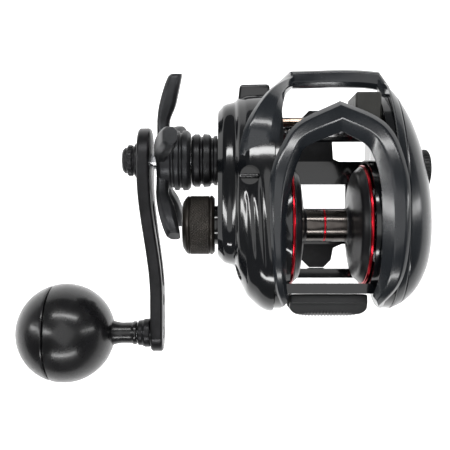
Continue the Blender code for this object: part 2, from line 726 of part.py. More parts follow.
def make_cover_screws():
    """Three screws sunk into the gear side cover."""
    for index, (y, z) in enumerate(cover_screw_places()):
        head = COVER_SCREW_HEAD_X - SCREW_HEAD_HEIGHT - GAP
        length = LEFT_PLATE_OUTER + COVER_SCREW_BITE - head
        screw(f"cover_screw_{index + 1}", (head, y, z), (0.0, -math.pi / 2, 0.0), length)


def palm_cover_rows():
    """Outlines of the palm cover: a quarter superellipse from its base to its tip."""
    rows = []
    steps = 8
    start = math.asin((PALM_COVER_BASE - PALM_START) / PALM_DEPTH)
    end = math.asin(PALM_TIP_SHARE)
    for step in range(steps):
        angle = start + (end - start) * step / (steps - 1)
        x = PALM_START + PALM_DEPTH * math.sin(angle)
        front = math.cos(angle)
        rear = (1 - math.sin(angle) ** 2.5) ** (1 / 2.5)
        outline = side_outline(BODY_REAR * rear, PALM_SIDE_FRONT * front, BODY_UP * rear,
                               PALM_SIDE_DOWN * rear, SOFT_CURVE)
        if step == 0:
            rows.append([(x, y, z) for y, z in outline])
            x += COVER_SKIRT
        rows.append([(x, y, z) for y, z in outline])
    return rows


def make_palm_side_cover():
    """Rounded shell for the palm, with a boss inside that holds the spool's bearing."""
    cover = skin("palm_side_cover", palm_cover_rows(), COVER_WALL, "gloss_black",
                 closed_rows=True, cap_last=True)
    dome = PALM_START + PALM_DEPTH * PALM_TIP_SHARE
    boss = drum("palm_boss", BRAKE_BOSS_RADIUS, (0.0150, dome - COVER_WALL / 2), SPOOL_AXIS)
    join(cover, boss)
    seat = drum("palm_bearing_seat", PALM_BEARING + RUNNING_GAP, (0.0140, 0.0188), SPOOL_AXIS)
    clear = drum("palm_shaft_hole", SPOOL_SHAFT_RADIUS + 2 * GAP, (0.0180, 0.0212), SPOOL_AXIS,
                 steps=SMALL_STEPS)
    dial_hole = drum("dial_hole", DIAL_RADIUS + GAP, (DIAL_INNER_X - 0.0015, 0.0400),
                     (DIAL_Y, DIAL_Z))
    cut(cover, seat, clear, dial_hole)


# ---------------------------------------------------------------- hood and nose

def make_hood():
    """Pointed wishbone over the spool: a band between two plan curves, laid on the crown."""
    outer = [(-0.0152, -0.0262), (-0.0179, -0.0199), (-0.0194, -0.0080), (-0.0200, 0.0040),
             (-0.0196, 0.0154), (-0.0162, 0.0245), (-0.0106, 0.0322), (0.0030, 0.0394),
             (0.0135, 0.0342), (0.0185, 0.0289), (0.0213, 0.0203), (0.0227, 0.0102),
             (0.0223, -0.0048), (0.0205, -0.0174), (0.0152, -0.0262)]
    inner = [(-0.0134, -0.0228), (-0.0144, -0.0190), (-0.0148, -0.0080), (-0.0146, 0.0040),
             (-0.0128, 0.0140), (-0.0106, 0.0205), (-0.0078, 0.0245), (0.0030, 0.0292),
             (0.0100, 0.0250), (0.0124, 0.0208), (0.0138, 0.0150), (0.0143, 0.0080),
             (0.0144, -0.0040), (0.0140, -0.0160), (0.0128, -0.0222)]
    rows = []
    apex = len(outer) // 2
    for side in (slice(0, apex + 1), slice(apex, len(outer))):
        outer_path = smooth_path(outer[side], 3)
        inner_path = smooth_path(inner[side], 3)
        for (ox, oy), (ix, iy) in zip(outer_path, inner_path):
            row = []
            for share in (0.0, 0.5, 1.0):
                x = ox + (ix - ox) * share
                y = oy + (iy - oy) * share
                row.append((x, y, crown(y) + GAP))
            if not rows or rows[-1] != row:
                rows.append(row)
    skin("hood", rows, HOOD_THICKNESS, "slate", offset=1.0)


def make_nose_bow():
    """Front bumper: a strut down from the gear side, and a bar across below the line's path."""
    path = smooth_path([
        (-0.0246, 0.0272, 0.0438), (-0.0190, 0.0366, 0.0403), (-0.0146, 0.0436, 0.0316),
        (-0.0106, 0.0480, 0.0200), (-0.0050, 0.0500, 0.0165), (0.0040, 0.0507, 0.0160),
        (0.0130, 0.0504, 0.0163), (0.0196, 0.0490, 0.0175)], 3)
    half_width = 0.0031
    rows = []
    for i, point in enumerate(path):
        before = Vector(path[max(i - 1, 0)])
        after = Vector(path[min(i + 1, len(path) - 1)])
        run = (after - before).to_2d().normalized()
        across = Vector((run.y, -run.x, 0.0)) * half_width
        middle = Vector(point)
        rows.append([tuple(middle - across), tuple(middle), tuple(middle + across)])
    skin("nose_bow", rows, 0.0026, "slate", offset=1.0)


# ---------------------------------------------------------------- spool

def make_spool(turning):
    """Spool with a slim arbor and dished flanges, bored for its shaft."""
    half = SPOOL_HALF_WIDTH
    bore = SPOOL_SHAFT_RADIUS + RUNNING_GAP
    hub = SPOOL_HUB_RADIUS
    dish = half - 0.0046
    inner_side = [(SPOOL_RADIUS, half - 0.0010), (SPOOL_RADIUS * 0.90, half - 0.0030),
                  (SPOOL_RADIUS * 0.75, dish + 0.0009), (SPOOL_RADIUS * 0.50, dish),
                  (ARBOR_RADIUS + 0.0010, dish - 0.0002), (ARBOR_RADIUS, dish - 0.0010)]
    back = [(radius, along + FLANGE_WALL) for radius, along in reversed(inner_side[1:4])]
    outer_side = [(bore, half), (hub, half), (hub, back[0][1]), *back,
                  (SPOOL_RADIUS - 0.0006, half), (SPOOL_RADIUS, half)]
    right = outer_side + inner_side
    left = [(radius, -along) for radius, along in reversed(right)]
    spool = turned("spool", right + left, SPOOL_AXIS, "gloss_black", closed=True, steps=24)
    hang(spool, turning)
    shaft = turned("spool_shaft", stepped((SPOOL_SHAFT_RADIUS, SPOOL_SHAFT_RIGHT, SPOOL_SHAFT_LEFT)),
                   SPOOL_AXIS, "steel", steps=SMALL_STEPS)
    pin_hole = upright_drum("pin_hole", PIN_RADIUS + RUNNING_GAP,
                            (SPOOL_Z - 0.004, SPOOL_Z + 0.004), SPOOL_PIN_X, 0.0, steps=12)
    cut(shaft, pin_hole)
    hang(shaft, turning)
    pin = upright_drum("spool_pin", PIN_RADIUS, (SPOOL_Z - PIN_REACH, SPOOL_Z + PIN_REACH),
                       SPOOL_PIN_X, 0.0, "steel", steps=12)
    hang(pin, turning)


def make_spool_bearings():
    """One bearing in the cast control boss and one in the palm cover's boss."""
    bearing("spool_bearing_gear_side", TENSION_BOSS_BORE - RUNNING_GAP,
            SPOOL_SHAFT_RADIUS + RUNNING_GAP,
            (GEAR_COVER_OUTER + 0.0006, GEAR_COVER_OUTER + 0.0032), SPOOL_AXIS)
    bearing("spool_bearing_palm_side", PALM_BEARING, SPOOL_SHAFT_RADIUS + RUNNING_GAP,
            (0.0160, 0.0184), SPOOL_AXIS)


# ---------------------------------------------------------------- gear train

def make_main_gear(turning):
    """Brass main gear with a ring of lightening holes."""
    outline = about(gear_outline(MAIN_TEETH, MAIN_MODULE, MESH_ANGLE), DRIVE_AXIS)
    loops = [outline, circle(DRIVE_SHAFT_RADIUS + RUNNING_GAP, DRIVE_AXIS, SMALL_STEPS)]
    hole_circle = 0.0125
    for i in range(6):
        angle = 2 * math.pi * i / 6
        centre = (DRIVE_Y + hole_circle * math.cos(angle), DRIVE_Z + hole_circle * math.sin(angle))
        loops.append(circle(0.0030, centre, 8))
    hang(flat("main_gear", loops, MAIN_GEAR_X, "brass", origin=DRIVE_AXIS), turning)


def make_pinion(turning):
    """Brass pinion on the spool axis, with a groove for the yoke and a slot for the spool's pin."""
    outline = about(gear_outline(PINION_TEETH, MAIN_MODULE, MESH_ANGLE + math.pi
                                 + math.pi / PINION_TEETH), SPOOL_AXIS)
    pinion = flat("pinion_gear", [outline], PINION_X, "brass", origin=SPOOL_AXIS)
    groove = YOKE_X[1] + GAP
    neck = turned("pinion_neck", stepped((0.0042, groove + 0.0007, groove),
                                         (PINION_NECK_RADIUS, groove, PINION_X[1] - 0.001)),
                  SPOOL_AXIS, None, steps=24)
    join(pinion, neck)
    bore = drum("pinion_bore", SPOOL_SHAFT_RADIUS + 2 * RUNNING_GAP,
                (PINION_X[0] - 0.001, groove + 0.0017), SPOOL_AXIS, steps=SMALL_STEPS)
    slot = block("pinion_slot", (SPOOL_PIN_X - PIN_RADIUS - GAP, -PIN_RADIUS - GAP,
                                 SPOOL_Z - 0.005),
                 (groove + 0.0017, PIN_RADIUS + GAP, SPOOL_Z + 0.005))
    cut(pinion, bore, slot)
    hang(pinion, turning)


def make_yoke(sliding):
    """Fork in the pinion's groove, with a spring on each post."""
    half_height = YOKE_POST_OFFSET + 0.0022
    grip = PINION_NECK_RADIUS + GAP
    slot = [(grip * math.sin(math.pi * i / 8), SPOOL_Z - grip * math.cos(math.pi * i / 8))
            for i in range(9)]
    outline = [
        (-0.0050, SPOOL_Z - half_height), (0.0026, SPOOL_Z - half_height),
        (0.0052, SPOOL_Z - 0.0060), (0.0052, SPOOL_Z - grip),
        *[(-y, z) for y, z in slot],
        (0.0052, SPOOL_Z + grip), (0.0052, SPOOL_Z + 0.0060),
        (0.0026, SPOOL_Z + half_height), (-0.0050, SPOOL_Z + half_height),
    ]
    holes = [circle(YOKE_POST_RADIUS + RUNNING_GAP, at, SMALL_STEPS) for at in yoke_post_places()]
    hang(flat("yoke", [outline, *holes], YOKE_X, "steel", origin=SPOOL_AXIS), sliding)
    for name, (y, z) in zip(("upper", "lower"), yoke_post_places()):
        hang(coil_spring(f"yoke_spring_{name}", (YOKE_X[0] - GAP, YOKE_X[0] - YOKE_SPRING_LENGTH),
                         (y, z)), sliding)


def coil_spring(name, span, axis):
    """Wire helix along X round an axis, as one closed tube."""
    wire = 0.00025
    radius = YOKE_POST_RADIUS + wire + 2 * RUNNING_GAP
    turns = 4
    per_turn = 6
    curve = bpy.data.curves.new(name, "CURVE")
    curve.dimensions = "3D"
    curve.bevel_depth = wire
    curve.bevel_resolution = 1
    curve.use_fill_caps = True
    spline = curve.splines.new("POLY")
    count = turns * per_turn + 1
    spline.points.add(count - 1)
    start = span[0] - wire
    length = span[1] + wire - start
    for i in range(count):
        angle = 2 * math.pi * i / per_turn
        spline.points[i].co = (start + length * i / (count - 1), radius * math.cos(angle),
                               radius * math.sin(angle), 1.0)
    obj = bpy.data.objects.new(name, curve)
    obj.location = (0.0, axis[0], axis[1])
    PARTS.objects.link(obj)
    paint(obj, "steel")
    return obj


def make_yoke_posts():
    """Two pins in the frame that guide the yoke."""
    for name, at in zip(("upper", "lower"), yoke_post_places()):
        profile = stepped((YOKE_POST_RADIUS, LEFT_PLATE_OUTER + 0.0012,
                           YOKE_X[0] - YOKE_POST_LENGTH))
        turned(f"yoke_post_{name}", profile, at, "steel", steps=14)


def make_clutch_cam(turning):
    """Ring that turns under the yoke, with an arm out to the thumb bar."""
    outer = 0.0074
    arm = 0.0021
    reach = THUMB_TAB_Y + THUMB_TAB_HALF + 0.0021
    start = math.asin(arm / outer)
    count = 28
    points = []
    for i in range(count + 1):
        angle = math.pi + start + (2 * math.pi - 2 * start) * i / count
        points.append((outer * math.cos(angle), SPOOL_Z + outer * math.sin(angle)))
    points.append((reach, SPOOL_Z + arm))
    points.append((reach, SPOOL_Z - arm))
    loops = [points, circle(0.0050, SPOOL_AXIS, 24)]
    hang(flat("clutch_cam", loops, CLUTCH_CAM_X, "steel", origin=SPOOL_AXIS), turning)


def make_drive_shaft(turning):
    """Shaft from the frame's bearing out to the handle, and the pieces keyed to it."""
    step_x = HANDLE_HUB_X + HANDLE_THICKNESS / 2 + 0.0007
    shaft = turned("drive_shaft", stepped((DRIVE_SHAFT_RADIUS, LEFT_PLATE_INNER - 2 * GAP, step_x),
                                          (SHAFT_TAIL_RADIUS, step_x, NUT_X[0] + 0.0007)),
                   DRIVE_AXIS, "steel")
    hang(shaft, turning)
    bore = DRIVE_SHAFT_RADIUS + RUNNING_GAP
    gear_loops = [about(gear_outline(LEVELWIND_DRIVE_TEETH, LEVELWIND_MODULE, WORM_MESH_ANGLE),
                        DRIVE_AXIS), circle(bore, DRIVE_AXIS, SMALL_STEPS)]
    hang(flat("levelwind_drive_gear", gear_loops, LEVELWIND_GEAR_X, "brass", origin=DRIVE_AXIS),
         turning)
    hang(ring("drive_plate", 0.0096, bore, DRIVE_PLATE_X, DRIVE_AXIS, "steel"), turning)
    hang(ring("drag_washer", 0.0152, bore, DRAG_WASHER_X, DRIVE_AXIS, "carbon"), turning)
    hang(ring("pressure_plate", 0.0140, bore, PRESSURE_PLATE_X, DRIVE_AXIS, "steel"), turning)
    hang(ring("bearing_sleeve", SLEEVE_RADIUS, bore, SLEEVE_X, DRIVE_AXIS, "steel", 24), turning)


def make_shaft_supports():
    """Bearing in the frame, and the one-way bearing in its housing on the cover."""
    bearing("drive_shaft_bearing", SHAFT_BEARING, DRIVE_SHAFT_RADIUS + RUNNING_GAP,
            (LEFT_PLATE_OUTER, LEFT_PLATE_INNER - 2 * GAP), DRIVE_AXIS)
    bore = HOUSING_BORE
    seat = GEAR_COVER_OUTER + 0.0008
    profile = [(HOUSING_RADIUS - 0.0004, HOUSING_X[1] + 0.0010),
               (HOUSING_RADIUS - 0.0004, HOUSING_X[1] - 0.0004),
               (HOUSING_RADIUS, HOUSING_X[1] - 0.0008), (HOUSING_RADIUS, HOUSING_X[0] + 0.0005),
               (HOUSING_RADIUS - 0.0005, HOUSING_X[0]), (SLEEVE_RADIUS + 0.0006, HOUSING_X[0]),
               (SLEEVE_RADIUS + 0.0006, HOUSING_X[0] + 0.0008),
               (bore - 0.0008, HOUSING_X[0] + 0.0008), (bore - 0.0008, seat),
               (bore, seat), (bore, GEAR_COVER_OUTER - GAP),
               (HOUSING_RADIUS - 0.0004, GEAR_COVER_OUTER - GAP)]
    turned("bearing_housing", profile, DRIVE_AXIS, "satin_black", closed=True)
    bearing("one_way_bearing", bore - 0.0008 - RUNNING_GAP, SLEEVE_RADIUS + RUNNING_GAP,
            (HOUSING_X[0] + 0.0012, GEAR_COVER_OUTER - 0.0004), DRIVE_AXIS)


# ---------------------------------------------------------------- handle

def make_star_drag(turning):
    """Star wheel: a grooved hub with paddles that lean in towards the body."""
    low, high = STAR_HUB_X
    radius = STAR_HUB_RADIUS
    bore = DRIVE_SHAFT_RADIUS + RUNNING_GAP
    groove = high - 0.0030
    profile = [(radius - 0.0008, high), (radius, high - 0.0008), (radius, groove),
               (radius - 0.0007, groove - 0.0003), (radius - 0.0007, groove - 0.0009),
               (radius, groove - 0.0012), (radius, low + 0.0012), (radius - 0.0014, low),
               (bore, low), (bore, high)]
    star = turned("star_drag", profile, DRIVE_AXIS, "satin_black", closed=True)
    for index in range(STAR_ARMS):
        join(star, star_arm(index))
    hang(star, turning)


def star_arm(index):
    """One paddle, lofted from a narrow root to a wide tip."""
    angle = STAR_PHASE + 2 * math.pi * index / STAR_ARMS
    out = Vector((0.0, math.cos(angle), math.sin(angle)))
    side = Vector((0.0, -math.sin(angle), math.cos(angle)))
    axis = Vector((0.0, DRIVE_Y, DRIVE_Z))
    root = STAR_HUB_X[0] + 0.0022
    stations = ((0.0085, root, 0.0028, 0.0018), (0.0140, root + 0.0003, 0.0028, 0.0019),
                (STAR_REACH - 0.0105, root + 0.0016, 0.0034, 0.0024),
                (STAR_REACH - 0.0050, root + 0.0030, 0.0038, 0.0023),
                (STAR_REACH - 0.0012, root + 0.0041, 0.0032, 0.0020),
                (STAR_REACH, root + 0.0046, 0.0024, 0.0016))
    mesh = bpy.data.meshes.new(f"star_arm_{index}")
    form = bmesh.new()
    rows = []
    for reach, x, half_width, half_thickness in stations:
        row = []
        for wide, thick in ((-1, -0.5), (-0.6, -1), (0.6, -1), (1, -0.5),
                            (1, 0.5), (0.6, 1), (-0.6, 1), (-1, 0.5)):
            middle = axis + out * reach + side * (half_width * wide)
            row.append(form.verts.new((x + half_thickness * thick, middle.y, middle.z)))
        rows.append(row)
    for below, above in zip(rows, rows[1:]):
        for i in range(8):
            j = (i + 1) % 8
            form.faces.new((below[i], below[j], above[j], above[i]))
    form.faces.new(rows[0])
    form.faces.new(rows[-1])
    bmesh.ops.recalc_face_normals(form, faces=form.faces)
    form.to_mesh(mesh)
    form.free()
    return place(mesh.name, mesh, (0.0, 0.0, 0.0), (0.0, 0.0, 0.0), None)


def arm_half_width(reach):
    """Half width of the handle arm at a reach from the drive axis towards the knob."""
    if reach < 0:
        return math.sqrt(max(HANDLE_HUB_RADIUS ** 2 - reach ** 2, 0.0))
    if reach > CRANK_RADIUS:
        return math.sqrt(max(HANDLE_TIP_RADIUS ** 2 - (reach - CRANK_RADIUS) ** 2, 0.0))
    share = reach / CRANK_RADIUS
    waist = 0.0014 * math.sin(math.pi * share)
    return HANDLE_HUB_RADIUS + (HANDLE_TIP_RADIUS - HANDLE_HUB_RADIUS) * share - waist


def arm_middle_x(reach):
    """Middle of the arm's thickness, which steps in towards the body on the way to the knob."""
    share = min(max((reach - 0.006) / (CRANK_RADIUS - 0.018), 0.0), 1.0)
    blend = share * share * (3 - 2 * share)
    return HANDLE_HUB_X + (HANDLE_TIP_X - HANDLE_HUB_X) * blend


def make_handle_arm(turning):
    """Cranked arm with a long window, a round window and its three bores."""
    ends = 5
    reaches = [-HANDLE_HUB_RADIUS * math.cos(math.pi / 2 * i / ends) for i in range(ends)]
    reaches[0] += 0.0001
    reaches += [CRANK_RADIUS * i / 12 for i in range(13)]
    reaches += [CRANK_RADIUS + HANDLE_TIP_RADIUS * math.sin(math.pi / 2 * (i + 1) / ends)
                for i in range(ends)]
    reaches[-1] -= 0.0001
    rows = []
    for reach in reaches:
        half = arm_half_width(reach)
        x = arm_middle_x(reach)
        rows.append([(x, DRIVE_Y - reach, DRIVE_Z + half * share) for share in (-1, -0.4, 0.4, 1)])
    arm = skin("handle_arm", rows, HANDLE_THICKNESS, "satin_black", offset=0.0)
    arm.location = (0.0, DRIVE_Y, DRIVE_Z)
    for vertex in arm.data.vertices:
        vertex.co -= Vector((0.0, DRIVE_Y, DRIVE_Z))
    reach_x = (HANDLE_HUB_X - 2 * HANDLE_THICKNESS, HANDLE_TIP_X + 2 * HANDLE_THICKNESS)
    shaft_hole = drum("arm_shaft_hole", SHAFT_TAIL_RADIUS + RUNNING_GAP, reach_x, DRIVE_AXIS)
    spindle_hole = drum("arm_spindle_hole", SPINDLE_RADIUS + RUNNING_GAP, reach_x, KNOB_AXIS)
    slot_near = DRIVE_Y - 0.0165
    slot_far = DRIVE_Y - 0.0400
    half = 0.0030
    window = [(slot_near + half * math.cos(a), DRIVE_Z + half * math.sin(a))
              for a in [math.pi * (-0.5 + i / 8) for i in range(9)]]
    window += [(slot_far + half * math.cos(a), DRIVE_Z + half * math.sin(a))
               for a in [math.pi * (0.5 + i / 8) for i in range(9)]]
    slot = flat("arm_window", [window], reach_x)
    eye = drum("arm_eye", 0.0020, reach_x, (DRIVE_Y - 0.0475, DRIVE_Z), steps=SMALL_STEPS)
    cut(arm, shaft_hole, spindle_hole, slot, eye)
    hang(arm, turning)


def make_handle_fasteners(turning):
    """Flanged nut with its retainer and screw, and the knob's spindle."""
    low, high = NUT_X
    nut_bore = SHAFT_TAIL_RADIUS + RUNNING_GAP
    profile = [(0.0058, high), (0.0058, high - 0.0010), (0.0052, high - 0.0016),
               (0.0046, high - 0.0016), (0.0046, low + 0.0005), (0.0040, low),
               (nut_bore, low), (nut_bore, high)]
    nut = turned("handle_nut", profile, DRIVE_AXIS, "satin_black", closed=True, steps=24)
    hang(nut, turning)
    spindle_ends = (HANDLE_TIP_X + HANDLE_THICKNESS / 2 - 0.0002, KNOB_CENTRE_X - 0.0007)
    spindle = turned("knob_spindle", stepped((SPINDLE_RADIUS, *spindle_ends)), KNOB_AXIS,
                     "steel", steps=SMALL_STEPS)
    hang(spindle, turning)
    root = HANDLE_TIP_X - HANDLE_THICKNESS / 2 - GAP
    boss = ring("spindle_collar", 0.0048, SPINDLE_RADIUS + RUNNING_GAP,
                (KNOB_NECK_END_X + GAP, root),
                KNOB_AXIS, "satin_black", 24)
    hang(boss, turning)


def make_knob(turning):
    """Ball knob on a slim neck, bored for its spindle and bearings, with a cap on its outer end."""
    bore = SPINDLE_RADIUS + 2 * RUNNING_GAP
    neck_angle = math.asin(KNOB_NECK_RADIUS / KNOB_RADIUS)
    seam_x = KNOB_CENTRE_X - KNOB_SEAM_OFFSET
    seam_angle = math.acos(-KNOB_SEAM_OFFSET / KNOB_RADIUS)
    profile = [(bore, KNOB_NECK_END_X), (KNOB_NECK_RADIUS, KNOB_NECK_END_X)]
    count = 9
    for i in range(count + 1):
        angle = neck_angle + (seam_angle - neck_angle) * i / count
        profile.append((KNOB_RADIUS * math.sin(angle), KNOB_CENTRE_X + KNOB_RADIUS * math.cos(angle)))
    profile += [(KNOB_SEAT_RADIUS, seam_x), (KNOB_SEAT_RADIUS, KNOB_SEAT_X), (bore, KNOB_SEAT_X)]
    hang(turned("handle_knob", profile, KNOB_AXIS, "gloss_black", closed=True, steps=24), turning)
    face_x = seam_x - GAP
    start = math.acos(-(KNOB_SEAM_OFFSET + GAP) / KNOB_RADIUS)
    profile = [(0.0, face_x)]
    count = 6
    for i in range(count + 1):
        angle = start + (math.pi - start) * i / count
        profile.append((KNOB_RADIUS * math.sin(angle), KNOB_CENTRE_X + KNOB_RADIUS * math.cos(angle)))
    profile[-1] = (0.0, KNOB_CENTRE_X - KNOB_RADIUS)
    hang(turned("knob_cap", profile, KNOB_AXIS, "gloss_black", steps=24), turning)
    hang(bearing("knob_bearing", KNOB_SEAT_RADIUS - RUNNING_GAP, SPINDLE_RADIUS + RUNNING_GAP,
                 (KNOB_SEAT_X - 0.0026, KNOB_SEAT_X - GAP), KNOB_AXIS, 24), turning)


# ---------------------------------------------------------------- cast control and brake

def make_tension_knob(turning):
    """Ribbed cast control knob over the threaded boss, closed on the outside."""
    low, high = TENSION_KNOB_X
    inside = TENSION_BOSS_RADIUS + GAP
    floor = low + 0.0052
    profile = [(0.0, floor), (inside, floor), (inside, high), (TENSION_KNOB_RADIUS - 0.0006, high),
               (TENSION_KNOB_RADIUS, high - 0.0008), (TENSION_KNOB_RADIUS, low + 0.0016),
               (TENSION_KNOB_RADIUS - 0.0016, low), (0.0, low)]
    knob = turned("tension_knob", profile, SPOOL_AXIS, "satin_black", steps=24)
    hang(knob, turning)


def make_end_shim():
    """Shim that the cast control knob presses on the end of the spool's shaft."""
    face = SPOOL_SHAFT_LEFT - 0.0004
    drum("end_shim", 0.0040, (face - 0.0009, face), SPOOL_AXIS, "bronze", steps=SMALL_STEPS)


def make_brake(turning, sliding):
    """Dial in the palm cover, and the holder that brings magnets up to the spool."""
    high, low = DIAL_OUTER_X, DIAL_INNER_X
    profile = [(0.0, high - 0.0005), (DIAL_RADIUS - 0.0025, high - 0.0005),
               (DIAL_RADIUS - 0.0018, high),
               (DIAL_RADIUS - 0.0005, high), (DIAL_RADIUS, high - 0.0005), (DIAL_RADIUS, low),
               (0.0022, low), (0.0022, 0.0262), (0.0052, 0.0262), (0.0052, 0.0250), (0.0, 0.0250)]
    dial = turned("brake_dial", profile, (DIAL_Y, DIAL_Z), "charcoal", steps=24)
    hang(dial, turning)
    inside = BRAKE_BOSS_RADIUS + RUNNING_GAP
    holder = ring("magnet_holder", 0.0135, inside, (0.0192, 0.0208), SPOOL_AXIS, "charcoal")
    hang(holder, sliding)
    magnet = ring("magnet_ring", 0.0128, 0.0092, (0.0170, 0.0189), SPOOL_AXIS, "magnet")
    hang(magnet, sliding)


# ---------------------------------------------------------------- level wind

def make_level_wind(turning):
    """Guide bar, slotted worm guard, worm and its gear."""
    bar = stepped((GUIDE_BAR_RADIUS, RIGHT_PLATE_INNER + BAR_BITE, LEFT_PLATE_INNER - BAR_BITE))
    turned("guide_bar", bar, GUIDE_AXIS, "bronze", steps=SMALL_STEPS)
    guard = ring("worm_guard", WORM_GUARD_RADIUS, WORM_RADIUS + GAP,
                 (LEFT_PLATE_OUTER + 0.0002, RIGHT_PLATE_INNER + BAR_BITE), WORM_AXIS,
                 "satin_black")
    window = block("guard_window", (-0.0130, WORM_Y - 0.0012, WORM_Z),
                   (0.0160, WORM_Y + 0.0012, WORM_Z + 0.0060))
    cut(guard, window)
    end = RIGHT_PLATE_INNER + BAR_BITE - 0.0002
    first = RIGHT_PLATE_INNER - 0.0041
    profile = [(0.0, end), (WORM_RADIUS, end)]
    for i in range(WORM_THREADS):
        top = first - WORM_PITCH * i
        profile += [(WORM_RADIUS, top), (WORM_RADIUS - 0.0006, top - 0.0003),
                    (WORM_RADIUS - 0.0006, top - 0.0012), (WORM_RADIUS, top - 0.0015)]
    tail = LEVELWIND_GEAR_X[0] - 0.0008
    profile += [(WORM_RADIUS, LEFT_PLATE_INNER), (WORM_TAIL_RADIUS, LEFT_PLATE_INNER),
                (WORM_TAIL_RADIUS, tail), (0.0, tail)]
    hang(turned("worm_shaft", profile, WORM_AXIS, "steel", steps=SMALL_STEPS), turning)
    phase = WORM_MESH_ANGLE + math.pi + math.pi / WORM_GEAR_TEETH
    loops = [about(gear_outline(WORM_GEAR_TEETH, LEVELWIND_MODULE, phase), WORM_AXIS),
             circle(WORM_TAIL_RADIUS + RUNNING_GAP, WORM_AXIS, SMALL_STEPS)]
    hang(flat("worm_gear", loops, LEVELWIND_GEAR_X, "brass", origin=WORM_AXIS), turning)


def make_line_guide(sliding):
    """Carriage on the guide bar, with a lined eye in front and a pawl down to the worm."""
    low = LINE_GUIDE_X - LINE_GUIDE_WIDTH / 2
    high = LINE_GUIDE_X + LINE_GUIDE_WIDTH / 2
    top = GUIDE_BAR_Z + LINE_GUIDE_RISE
    guide = block("line_guide", (low, LINE_GUIDE_REAR, WORM_Z + WORM_GUARD_RADIUS + GAP),
                  (high, LINE_GUIDE_FRONT, top), "charcoal")
    soften(guide, 0.0006)
    bar_hole = drum("guide_bar_hole", GUIDE_BAR_RADIUS + RUNNING_GAP, (low - 0.001, high + 0.001),
                    GUIDE_AXIS, steps=SMALL_STEPS)
    eye_z = top - EYE_DROP
    eye_y = (LINE_GUIDE_REAR + LINE_GUIDE_FRONT) / 2
    eye_half = (LINE_GUIDE_FRONT - LINE_GUIDE_REAR) / 2 + 0.0002
    eye_hole = drum("eye_hole", EYE_RADIUS + GAP, (-0.020, 0.020), (0.0, 0.0))
    eye_hole.rotation_euler = (math.pi / 2, 0.0, 0.0)
    eye_hole.location = (LINE_GUIDE_X, eye_y, eye_z)
    pawl_hole = upright_drum("pawl_hole", PAWL_RADIUS + RUNNING_GAP,
                             (WORM_Z, GUIDE_BAR_Z - GUIDE_BAR_RADIUS - 0.0006), LINE_GUIDE_X, WORM_Y)
    cut(guide, bar_hole, eye_hole, pawl_hole)
    hang(guide, sliding)
    mouth = EYE_RADIUS - 0.0008
    liner_profile = [(EYE_RADIUS, eye_half), (EYE_RADIUS, -eye_half), (mouth, -eye_half),
                     (mouth - 0.0003, 0.0), (mouth, eye_half)]
    liner = turned("line_guide_insert", liner_profile, (0.0, 0.0), "ceramic", closed=True, steps=24)
    liner.rotation_euler = (math.pi / 2, 0.0, 0.0)
    liner.location = (LINE_GUIDE_X, eye_y, eye_z)
    hang(liner, sliding)
    pawl_top = GUIDE_BAR_Z - GUIDE_BAR_RADIUS - 0.0009
    pawl = upright_drum("level_wind_pawl", PAWL_RADIUS, (WORM_Z + WORM_RADIUS + 0.0002, pawl_top),
                        LINE_GUIDE_X, WORM_Y, "brass", steps=14)
    hang(pawl, sliding)


# ---------------------------------------------------------------- thumb bar

def make_thumb_bar(sliding):
    """Clutch bar across the back, with a ribbed pad and a tab through to the clutch cam."""
    half = THUMB_BAR_HALF_WIDTH
    section = [(-0.0224, 0.0345), (-0.0250, 0.0350), (-0.0290, 0.0325), (-0.0303, 0.0285),
               (-0.0298, 0.0240), (-0.0282, 0.0205), (-0.0266, 0.0205), (-0.0276, 0.0245),
               (-0.0280, 0.0280), (-0.0270, 0.0305), (-0.0250, 0.0322), (-0.0224, 0.0318)]
    bar = flat("thumb_bar", [section], (-half, half), "charcoal")
    near, far = THUMB_TAB_Y - THUMB_TAB_HALF, THUMB_TAB_Y + THUMB_TAB_HALF
    floor = THUMB_TAB_Z - THUMB_TAB_HALF
    tab = block("thumb_tab", (LEFT_PLATE_OUTER - 0.0007, near, floor),
                (-half + 0.0010, far, THUMB_TAB_Z + THUMB_TAB_HALF))
    web = block("thumb_web", (-half, near, floor), (-half + 0.0012, far, 0.0328))
    join(bar, tab, web)
    hang(bar, sliding)


# ---------------------------------------------------------------- assembly

